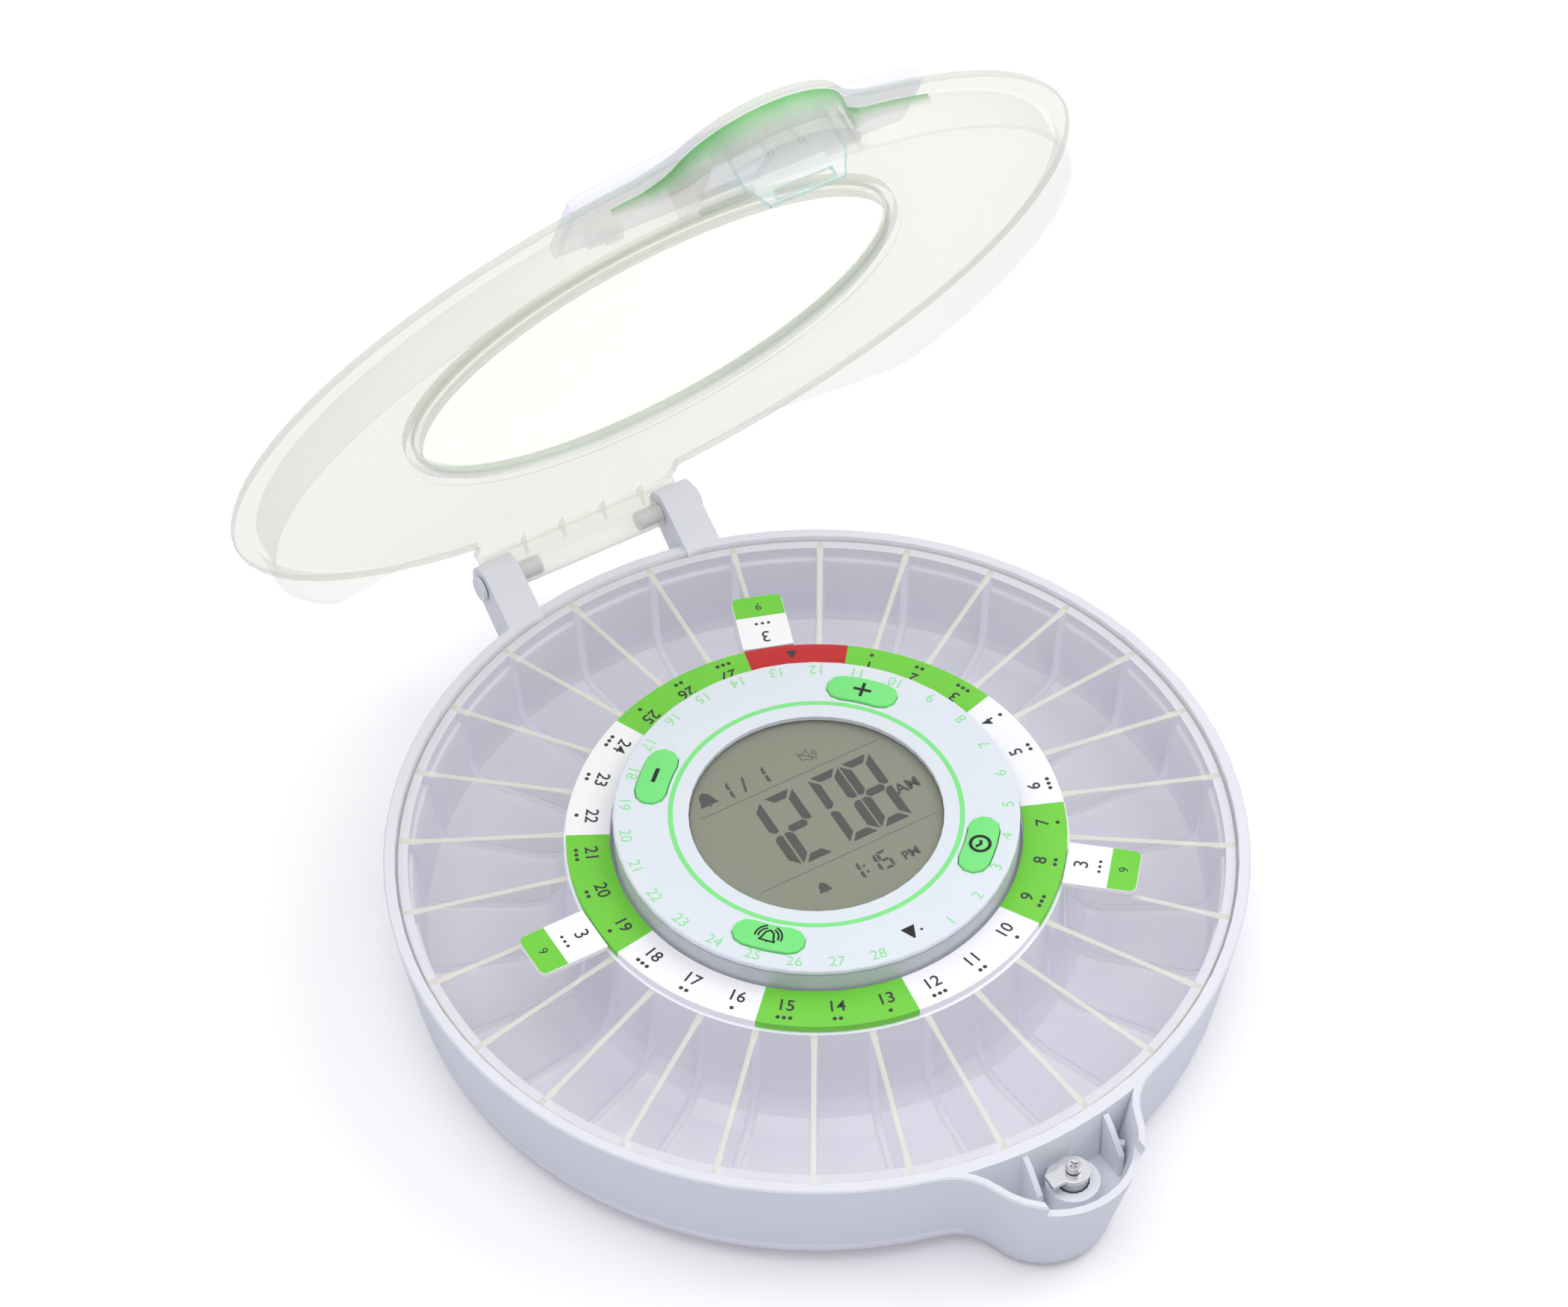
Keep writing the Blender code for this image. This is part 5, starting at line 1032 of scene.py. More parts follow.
@dataclass(frozen=True)
class Tray:
    """Turning tray: one thin frosted moulding with 28 compartments.

    Attributes:
        slots: Number of compartments.
        turn: Angle of the first compartment from the lock.
        half: Half thickness of a divider.
        edge: Radius of the rounded top of a divider.
        fillet: Radius along the floor of a divider.
        corner: Radius in the plan corners of a compartment.
        fold_high: Height up to which the fillets of the floor look dense.
        rim: Radius and height past which the rim looks dense.
        crown: Radius and height of the dividers' top line at the hub and at the rim.
        pocket: Radius, height and share of the corner radius down through a compartment.
        pocket_easing: Radius of the eased corners of that line.
        shell: Radius and height of the rest of the section, from the rim round to the hub.
        shell_easing: Radius of its eased corners.
    """

    slots: int = 28
    turn: float = math.radians(0.8)
    half: float = 0.0007
    edge: float = 0.00035
    fillet: float = 0.0009
    corner: float = 0.0002
    fold_high: float = 0.0130
    rim: tuple[float, float] = (0.0965, 0.0305)
    crown: tuple = ((0.0600, 0.0349), (0.09714, 0.03193))
    pocket: tuple = (
        (0.0600, 0.0349, 1.0),
        (0.0606, 0.0190, 1.0),
        (0.0616, 0.0136, 1.0),
        (0.0646, 0.0096, 0.3),
        (0.0690, 0.0080, 0.0),
        (0.0800, 0.0080, 0.0),
        (0.0910, 0.0080, 0.0),
        (0.0938, 0.0092, 0.5),
        (0.0948, 0.0120, 1.0),
        (0.0961, 0.0282, 1.0),
        (0.09714, 0.0286, 1.0),
        (0.09714, 0.03193, 1.0),
    )
    pocket_easing: float = 0.0009
    shell: tuple = (
        (0.09714, 0.03193),
        (0.09960, 0.03193),
        (0.09960, 0.03090),
        (0.09864, 0.03060),
        (0.0960, 0.0080),
        (0.0942, 0.0064),
        (0.0580, 0.0064),
        (0.0580, 0.0333),
        (0.0490, 0.0333),
        (0.0490, 0.0360),
        (0.0540, 0.0360),
        (0.0540, 0.0349),
        (0.0600, 0.0349),
    )
    shell_easing: float = 0.0003

    def stations(self) -> tuple[np.ndarray, np.ndarray, np.ndarray]:
        """Lists the stations down through a compartment and round the shell.

        Returns:
            Radius and height of each station, the share of the plan corner at it, and whether it
            is in the compartment.
        """
        inside = eased(self.pocket, self.pocket_easing, steps=3, closed=False)
        outside = eased(self.shell, self.shell_easing, steps=3, closed=False)[1:-1]
        shares = np.concatenate([inside[:, 2], np.zeros(len(outside))])
        within = np.arange(len(shares)) < len(inside)
        return np.concatenate([inside[:, :2], outside]), shares, within

    def build(self) -> None:
        """Makes the tray.

        A point is (r cos a, r sin a, z). Over a divider, a = b + asin(s / r), with b the angle of
        the divider and s the distance from its middle. Past it, a runs evenly to the middle of the
        compartment. The height z runs from the divider's top, round its edge, down its side and
        round the fillet to the height of the station.
        """
        place, share, within = self.stations()
        radius, floor = place[:, :1], place[:, 1:]
        (r0, z0), (r1, z1) = self.crown
        top = z0 + (z1 - z0) * (radius - r0) / (r1 - r0)
        top = np.where(within[:, None], np.maximum(top, floor), floor)
        rise = top - floor
        edge = np.minimum(self.edge, rise / 3.0)
        fillet = np.minimum(self.fillet, rise / 3.0)
        wall = self.half + self.corner * share[:, None] ** 2
        over = np.linspace(0.0, math.pi / 2.0, 4)[None, :]
        under = np.linspace(0.0, math.pi / 2.0, 5)[None, :]
        crest = np.zeros_like(radius)
        side = [crest, wall - edge + edge * np.sin(over), wall + fillet * (1.0 - np.cos(under))]
        high = [top, top - edge * (1.0 - np.cos(over)), floor + fillet * (1.0 - np.sin(under))]
        lean = np.arcsin(np.concatenate(side, 1) / radius)
        high = np.concatenate(high, 1)
        slot = math.pi / self.slots
        spread = np.linspace(0.0, 1.0, 6)[None, 1:]
        lean = np.concatenate([lean, lean[:, -1:] + (slot - lean[:, -1:]) * spread], 1)
        high = np.concatenate([high, np.repeat(floor, spread.shape[1], 1)], 1)
        lean = np.concatenate([lean, 2.0 * slot - lean[:, -2:0:-1]], 1)
        high = np.concatenate([high, high[:, -2:0:-1]], 1)
        first = -math.pi / 2.0 + self.turn - slot
        step = first + 2.0 * slot * np.arange(self.slots)
        angle = (step[None, :, None] + lean[:, None, :]).reshape(len(radius), -1)
        level = np.repeat(high[:, None, :], self.slots, 1).reshape(len(radius), -1)
        points = np.stack([radius * np.cos(angle), radius * np.sin(angle), level], -1).reshape(-1, 3)
        faces = grid_faces(*angle.shape, True, True)
        marks = self.edge_marks(angle.shape, high.shape[1], place, within)
        mesh = make_mesh("tray", points, faces.tolist(), marks)
        finishes = [FROSTED_PP, FROSTED_PP_EDGE, FROSTED_PP_THICK, FROSTED_PP_UNDER]
        place_piece("tray_finished", mesh, finishes, Body.TRAY, ["tray"])

    def edge_marks(
        self, shape: tuple[int, int], period: int, place: np.ndarray, within: np.ndarray
    ) -> np.ndarray:
        """Gives each face the number of its finish.

        The tops of the dividers, the fillets of the floor and the rim are seen edge on. The
        underside, and the floors and end walls of the compartments, have finishes of their own.
        Counted from the crest of a divider, faces 0 to 2 are on its rounded top, and its fillet
        starts at face 5.

        Args:
            shape: Number of stations, and of points round the tray.
            period: Number of points over one compartment.
            place: Radius and height of each station.
            within: Whether each station is in a compartment.

        Returns:
            Material number of each face.
        """
        row, column = np.divmod(np.arange(shape[0] * shape[1]), shape[1])
        nth = column % period
        folded = np.minimum(nth, period - 1 - nth)
        fold = (place[row, 1] < self.fold_high) & (folded >= 5) & (folded < 7)
        tops = within[row] & ((folded < 3) | fold)
        rim = ~within[row] & (place[row, 0] > self.rim[0]) & (place[row, 1] > self.rim[1])
        return np.select([tops | rim, ~within[row], folded >= 5], [1, 3, 2], 0)


@dataclass(frozen=True)
class Dial:
    """Printed dial ring on the tray, and the three tabs that clip to it.

    Attributes:
        places: Number of printed places round the ring. The last two are the red block.
        first: Angle where the first block starts, in degrees.
        columns: Steps over one printed place.
        section: Radius and height at the corners of the ring's section.
        easing: Radius of its eased corners.
        top: Height of the printed face.
        number_ring: Radius of the middle of the numbers.
        number_size: Size of the numbers.
        number_weight: How far the outline of a number is moved outward.
        dot_ring: Radius of the row of dots.
        dot_radius: Radius of a dot.
        dot_step: Angle from one dot to the next, in degrees.
        pointer_ring: Radius of the foot of the pointer.
        pointer_share: How far back from the first block the pointer is, as a share of a place.
        pointer: Corners of the pointer, from the middle of its foot.
        tab_angles: Angles of the tabs, in degrees.
        tab_edge: Width of the eased edges of a tab.
        tab_end: First radius, last radius and half width of the green end of a tab.
        tab_corner: Corner radius of the green end.
        tab_steps: Steps on each of its rounded corners.
        tab_digits: Text, size and radius of the digits on a tab.
        tab_dots: Radius of the row of dots on a tab, and their angles from its middle.
        tab_dot_radius: Radius of one of them.
    """

    places: int = 29
    first: float = 76.5
    columns: int = 6
    section: tuple = (
        (0.0490, 0.0363),
        (0.0543, 0.0363),
        (0.0543, 0.0352),
        (0.0594, 0.0352),
        (0.0594, 0.0373),
        (0.0490, 0.0373),
    )
    easing: float = 0.00015
    top: float = 0.0373
    number_ring: float = 0.0537
    number_size: float = 0.0044
    number_weight: float = 0.00005
    dot_ring: float = 0.0572
    dot_radius: float = 0.00052
    dot_step: float = 1.45
    pointer_ring: float = 0.0575
    pointer_share: float = 0.9
    pointer: tuple = ((-0.0014, 0.0), (0.0014, 0.0), (0.0, 0.0026))
    tab_angles: tuple[float, float, float] = (70.5, -41.0, 179.5)
    tab_edge: float = 0.00015
    tab_end: tuple[float, float, float] = (0.0701, 0.07688, 0.00618)
    tab_corner: float = 0.0020
    tab_steps: int = 6
    tab_digits: tuple = (("3", 0.0050, 0.0634), ("9", 0.0033, 0.0735))
    tab_dots: tuple = (0.0677, (-1.3, 0.0, 1.3))
    tab_dot_radius: float = 0.00042

    def build(self) -> None:
        """Makes the ring, its print and the tabs."""
        self.build_ring()
        self.build_print()
        for number, angle in enumerate(self.tab_angles, start=1):
            self.build_tab(number, angle)

    def build_ring(self) -> None:
        """Makes the ring in blocks of three printed places, with two red places before the first."""
        section = eased(self.section, self.easing, steps=2)
        count = self.places * self.columns
        points = turned_points(section, count, math.radians(self.first))
        faces = grid_faces(count, len(section), True, True)
        nth = np.repeat(np.arange(count), len(section)) // self.columns
        marks = np.select([nth >= self.places - 2, nth // 3 % 2 == 0], [2, 1], 0)
        mesh = make_mesh("dial_ring", points, faces.tolist(), marks)
        place_piece("dial_ring_finished", mesh, [CARD_WHITE, CARD_GREEN, CARD_RED], Body.TRAY, ["dial_ring"])

    def build_print(self) -> None:
        """Prints a number and one to three dots on each place, and the pointer on the red block."""
        pitch, last = 360.0 / self.places, self.places - 2
        numbers, dots = [], []
        for nth in range(last):
            angle = self.first + (nth + 0.5) * pitch
            place = tuple(on_dial(self.number_ring, angle))
            turn, weight = dial_turn(angle), self.number_weight
            numbers.append(Caption(str(last - nth), self.number_size, place, turn, weight))
            count = 3 - nth % 3
            for step in range(count):
                shift = (step - (count - 1) / 2.0) * self.dot_step
                middle = on_dial(self.dot_ring, angle + shift)
                dots.append(arc_points(self.dot_radius, 0.0, 345.0, 11, middle))
        angle = self.first - pitch * self.pointer_share
        dots.append(moved(self.pointer, dial_turn(angle), on_dial(self.pointer_ring, angle)))
        print_captions("dial_numbers", numbers, self.top, INK_DARK, Body.TRAY)
        print_shapes("dial_dots", dots, self.top, INK_DARK, Body.TRAY)

    def build_tab(self, number: int, angle: float) -> None:
        """Makes one clip-on tab: white with a green rounded end and plain digits.

        Args:
            number: Number of the tab.
            angle: Angle of the tab in degrees.
        """
        node = f"dial_tab_{number}"
        refine(node, CARD_WHITE, self.tab_edge)
        start, end, half = self.tab_end
        corners = [(start, -half), (end, -half), (end, half), (start, half)]
        plan = eased(corners, self.tab_corner, self.tab_steps)
        rounded = plan[self.tab_steps + 1 : 3 * (self.tab_steps + 1)]
        squared = np.concatenate([corners[:1], rounded, corners[3:]])
        print_shapes(f"{node}_end", [moved(squared, angle, (0.0, 0.0))], self.top, CARD_GREEN, Body.TRAY)
        captions = [
            Caption(text, size, tuple(on_dial(radius, angle)), dial_turn(angle))
            for text, size, radius in self.tab_digits
        ]
        print_captions(f"{node}_digits", captions, self.top + PRINT_THICKNESS, INK_DARK, Body.TRAY)
        ring, sides = self.tab_dots
        middles = [on_dial(ring, angle + side) for side in sides]
        dots = [arc_points(self.tab_dot_radius, 0.0, 345.0, 11, middle) for middle in middles]
        print_shapes(f"{node}_dots", dots, self.top, INK_DARK, Body.TRAY)


@dataclass(frozen=True)
class Segments:
    """Seven-segment digits.

    Attributes:
        width: Width of a digit.
        height: Height of a digit.
        bar: Width of a segment.
        slant: Shift to the right for each unit of height.
    """

    width: float
    height: float
    bar: float
    slant: float

    def outlines(self) -> dict[str, np.ndarray]:
        """Gives the outline of each segment about the middle of the digit.

        Returns:
            Plan points by segment letter.
        """
        w, h, b = self.width / 2.0, self.height / 2.0, self.bar
        g = b * 0.2
        k = b * 0.5
        top = [(-w + 2.0 * g, h), (w - 2.0 * g, h), (w - b - g, h - b), (-w + b + g, h - b)]
        right = [(w, h - g), (w, 1.6 * g), (w - k, g), (w - b, g + k), (w - b, h - b - 1.4 * g)]
        left_end = [(-w + b, -k), (-w + k + g, 0.0), (-w + b, k)]
        shapes = {
            "a": top,
            "b": right,
            "c": [(x, -y) for x, y in right],
            "d": [(x, -y) for x, y in top],
            "e": [(-x, -y) for x, y in right],
            "f": [(-x, y) for x, y in right],
            "g": [*left_end, *[(-x, -y) for x, y in left_end]],
        }
        lean = np.array([[1.0, 0.0], [self.slant, 1.0]])
        return {key: np.array(value) @ lean for key, value in shapes.items()}

    def digit(self, figure: str, place: tuple[float, float]) -> list[np.ndarray]:
        """Gives the outlines of the lit segments of a digit that has its middle at a place."""
        shapes = self.outlines()
        return [shapes[key] + place for key in LIT_SEGMENTS[figure]]


def bell_outline(width: float, place: Sequence[float]) -> list[np.ndarray]:
    """Draws a bell with its clapper.

    Args:
        width: Width of its mouth.
        place: Middle of the bell.

    Returns:
        Outlines of the bell and the clapper.
    """
    side = np.array([(0.50, -0.36), (0.50, -0.30), (0.40, -0.18), (0.34, 0.10), (0.26, 0.32), (0.12, 0.42)])
    crown = np.array([(0.06, 0.50), (-0.06, 0.50)])
    bell = np.concatenate([side, crown, side[::-1] * (-1.0, 1.0)]) * width + place
    clapper = arc_points(0.09 * width, 180.0, 360.0, 8, (place[0], place[1] - 0.39 * width))
    return [bell, clapper]


@dataclass(frozen=True)
class Module:
    """Fixed round module: its body and face, the board and buzzer in it, and the screws.

    Attributes:
        others: Rows for the pieces that only need their edges eased.
        board_screw_edge: Width of the eased edges of a screw of the board.
        module_screw_edge: Width of the eased edges of a screw of the module.
    """

    others: tuple = (
        ("module_body", MODULE_GREY, 0.0002),
        ("face_plate", FACE_WHITE, 0.00018, 3),
        ("circuit_board", BOARD, 0.0001),
        ("buzzer", BLACK_NYLON, 0.0003),
    )
    board_screw_edge: float = 0.00012
    module_screw_edge: float = 0.00015

    def build(self) -> None:
        """Makes the module."""
        refine_all(self.others)
        for number in range(1, 5):
            refine(f"board_screw_{number}", ZINC, self.board_screw_edge)
            refine(f"module_screw_{number}", ZINC, self.module_screw_edge)


@dataclass(frozen=True)
class Keys:
    """The four soft keys, each with its printed symbol.

    Attributes:
        top: Height of the keys.
        ring: Radius of the ring that their middles lie on.
        edge: Width of their eased edges.
        swell: How much wider than the CAD's they are, which closes most of the gap round them.
        plus: Length and half width of an arm of the plus.
        minus: Half length and half width of the minus.
        bell: Width of the bell.
        bell_line: Width of the lines of the bell.
        waves: Radii of the arcs of sound beside the bell.
        clock: Radius of the clock, and width of its rim and of its hands.
        hands: Ends and joint of the clock's hands.
    """

    top: float = 0.04403
    ring: float = 0.0398
    edge: float = 0.00028
    swell: float = 1.022
    plus: tuple[float, float] = (0.0022, 0.0004)
    minus: tuple[float, float] = (0.0022, 0.0005)
    bell: float = 0.0036
    bell_line: float = 0.00046
    waves: tuple[float, float] = (0.0024, 0.0032)
    clock: tuple[float, float, float] = (0.0023, 0.0008, 0.0007)
    hands: tuple = ((-0.0012, 0.0007), (0.0, -0.0002), (0.0011, 0.0002))

    def build(self) -> None:
        """Makes the keys, and on each its symbol, by the angle of the key and the symbol's turn."""
        keys = {
            Body.PLUS: (43.0, 43.0, self.plus_symbol()),
            Body.MINUS: (133.0, 43.0, self.minus_symbol()),
            Body.BELL: (-137.0, -50.0, self.bell_symbol()),
            Body.CLOCK: (-46.0, 40.0, self.clock_symbol()),
        }
        swell = Matrix.Diagonal((self.swell, self.swell, 1.0, 1.0))
        for body, (angle, turn, outlines) in keys.items():
            key = refine(f"button_{body.value}", KEY_SILICONE, self.edge, 3)
            place = on_dial(self.ring, angle)
            middle = Matrix.Translation((*place, self.top))
            key.data.transform(middle @ swell @ middle.inverted())
            symbol = [moved(outline, turn, place) for outline in outlines]
            print_shapes(f"symbol_{body.value}", symbol, self.top, INK_BLACK, body)

    def plus_symbol(self) -> list[np.ndarray]:
        """Draws a plus as one corner between two arms, mirrored round to the other three.

        Returns:
            Its outline.
        """
        reach, half = self.plus
        arm = np.array([(reach, half), (half, half), (half, reach)])
        return [np.concatenate([arm, arm[::-1] * (-1.0, 1.0), -arm, arm[::-1] * (1.0, -1.0)])]

    def minus_symbol(self) -> list[np.ndarray]:
        """Draws a minus."""
        a, b = self.minus
        return [np.array([(-a, -b), (a, -b), (a, b), (-a, b)])]

    def bell_symbol(self) -> list[np.ndarray]:
        """Draws a ringing bell in thin lines.

        Returns:
            Outlines of its lines.
        """
        bell, clapper = bell_outline(self.bell, (0.0, 0.0))
        rim = stroke(np.concatenate([bell, bell[:1]]), self.bell_line)
        waves = [
            stroke(arc_points(radius, start, start + 80.0, 8), self.bell_line)
            for radius in self.waves
            for start in (-10.0, 110.0)
        ]
        return [rim, clapper, *waves]

    def clock_symbol(self) -> list[np.ndarray]:
        """Draws the rim and the hands of a clock."""
        radius, rim, hand = self.clock
        return [stroke(arc_points(radius, 0.0, 360.0, 40), rim), stroke(self.hands, hand)]


@dataclass(frozen=True)
class FacePrint:
    """Print on the face of the module: numbers, a thin circle, and a pointer with a dot.

    Attributes:
        top: Height of the face.
        places: Number of places round the face. One is left to the pointer.
        number_ring: Radius of the middle of the numbers.
        number_size: Size of the numbers.
        circle: Inner and outer radius of the circle.
        circle_steps: Steps round it.
        pointer: Corners of the pointer.
        dot_radius: Radius of the dot beside it.
        dot_place: Middle of the dot.
    """

    top: float = 0.04343
    places: int = 29
    number_ring: float = 0.0455
    number_size: float = 0.0040
    circle: tuple[float, float] = (0.0339, 0.0351)
    circle_steps: int = 144
    pointer: tuple = ((-0.0018, -0.0409), (0.0018, -0.0409), (0.0002, -0.0445), (-0.0002, -0.0445))
    dot_radius: float = 0.00035
    dot_place: tuple[float, float] = (0.0026, -0.0431)

    def build(self) -> None:
        """Prints the numbers, the circle, and the pointer with its dot."""
        captions = []
        for number in range(1, self.places):
            angle = -90.0 + 360.0 / self.places * number
            place = tuple(on_dial(self.number_ring, angle))
            captions.append(Caption(str(number), self.number_size, place, dial_turn(angle)))
        print_captions("face_numbers", captions, self.top, INK_MINT, Body.BASE)
        high = self.top + PRINT_THICKNESS
        inner, outer = self.circle
        section = np.array([(inner, self.top), (outer, self.top), (outer, high), (inner, high)])
        mesh = turned_mesh("face_circle", section, self.circle_steps)
        place_piece("face_circle", mesh, [INK_GREEN], Body.BASE)
        dot = arc_points(self.dot_radius, 0.0, 330.0, 11, self.dot_place)
        print_shapes("face_pointer", [self.pointer, dot], self.top, INK_BLACK, Body.BASE)


@dataclass(frozen=True)
class Display:
    """Liquid crystal display, the glass over it and what it shows.

    Attributes:
        discs: Node, finish, and width and drop of the bevel, of the display and its glass.
        disc_rounding: Radius and steps of the rounded corners of their sections.
        disc_steps: Steps round them.
        top: Height of the display.
        big: Size of the digits of the time.
        small: Size of the other digits.
        time: Digits of the time and their middles.
        notes: The other digits and their middles.
        letters: Captions.
        colon: Middles of the two dots in the smaller time.
        colon_dot: Radius of such a dot.
        bells: Width and middle of each bell.
        slash: Ends of the stroke between the two counts.
        slash_width: Width of that stroke.
        rules: Ends of each rule.
        rule_width: Width of the rules.
        speaker: Middle of the crossed loudspeaker.
        speaker_line: Width of its lines.
        cone: Corners of the lower half of its cone.
        mouth: Middle of the arcs of sound.
        waves: Radii of those arcs.
        cross: Ends of the stroke that crosses it.
    """

    discs: tuple = (("lcd_display", LCD_GROUND, 0.0002, 0.0002), ("lcd_window", LCD_GLASS, 0.0004, 0.0003))
    disc_rounding: tuple[float, int] = (0.0001, 2)
    disc_steps: int = 96
    top: float = 0.0414
    big: Segments = Segments(0.0083, 0.0221, 0.0022, 0.045)
    small: Segments = Segments(0.0030, 0.0058, 0.0008, 0.06)
    time: tuple = (
        ("1", (-0.0139, 0.0001)),
        ("2", (-0.0050, 0.0001)),
        ("0", (0.0076, 0.0001)),
        ("8", (0.01635, 0.0001)),
    )
    notes: tuple = (
        ("1", (-0.0145, 0.01775)),
        ("1", (-0.0047, 0.01775)),
        ("1", (-0.0006, -0.0194)),
        ("1", (0.0040, -0.0194)),
        ("5", (0.00725, -0.0194)),
    )
    letters: tuple = (
        Caption("AM", 0.0044, (0.0236, -0.0026), weight=0.00012),
        Caption("PM", 0.0035, (0.01345, -0.0209), weight=0.0001),
    )
    colon: tuple = ((0.0019, -0.0185), (0.0019, -0.0205))
    colon_dot: float = 0.0004
    bells: tuple = ((0.0048, (-0.0196, 0.0180)), (0.0034, (-0.0095, -0.0194)))
    slash: tuple = ((-0.0102, 0.0154), (-0.0088, 0.0200))
    slash_width: float = 0.0006
    rules: tuple = (((-0.0235, 0.0135), (0.0250, 0.0135)), ((-0.02275, -0.01325), (0.0250, -0.01325)))
    rule_width: float = 0.00022
    speaker: tuple[float, float] = (0.0080, 0.0178)
    speaker_line: float = 0.0003
    cone: tuple = ((-0.0018, -0.0008), (-0.0008, -0.0008), (0.0006, -0.0019))
    mouth: tuple[float, float] = (0.0006, 0.0)
    waves: tuple[float, float] = (0.0010, 0.0017)
    cross: tuple = ((-0.0022, 0.0019), (0.0018, -0.0019))

    def build(self) -> None:
        """Makes the display, the glass over it and what it shows."""
        for node, finish, width, drop in self.discs:
            low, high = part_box(node)
            heights, bevel = (low.z, high.z), (width, drop)
            disc = disc_mesh(node, heights, high.x, bevel, self.disc_rounding, self.disc_steps)
            place_piece(f"{node}_finished", disc, [finish], Body.BASE, [node])
        print_shapes("lcd_digits", self.dark_shapes(), self.top, LCD_SEGMENT, Body.BASE)
        print_shapes("lcd_lines", self.thin_shapes(), self.top, LCD_THIN, Body.BASE)
        print_captions("lcd_letters", self.letters, self.top, LCD_SEGMENT, Body.BASE)

    def dark_shapes(self) -> list[np.ndarray]:
        """Draws the lit digits and symbols.

        Returns:
            Their outlines.
        """
        shapes = []
        for size, figures in ((self.big, self.time), (self.small, self.notes)):
            for figure, place in figures:
                shapes += size.digit(figure, place)
        shapes += [arc_points(self.colon_dot, 0.0, 330.0, 8, place) for place in self.colon]
        for width, place in self.bells:
            shapes += bell_outline(width, place)
        shapes.append(stroke(self.slash, self.slash_width))
        return shapes

    def thin_shapes(self) -> list[np.ndarray]:
        """Draws the rules and the crossed loudspeaker.

        Returns:
            Their outlines.
        """
        rules = [stroke(rule, self.rule_width) for rule in self.rules]
        cone = [*self.cone, *[(x, -y) for x, y in self.cone[::-1]], self.cone[0]]
        waves = [arc_points(radius, -45.0, 45.0, 6, self.mouth) for radius in self.waves]
        lines = [np.array(points) + self.speaker for points in (cone, *waves, self.cross)]
        return [*rules, *[stroke(line, self.speaker_line) for line in lines]]


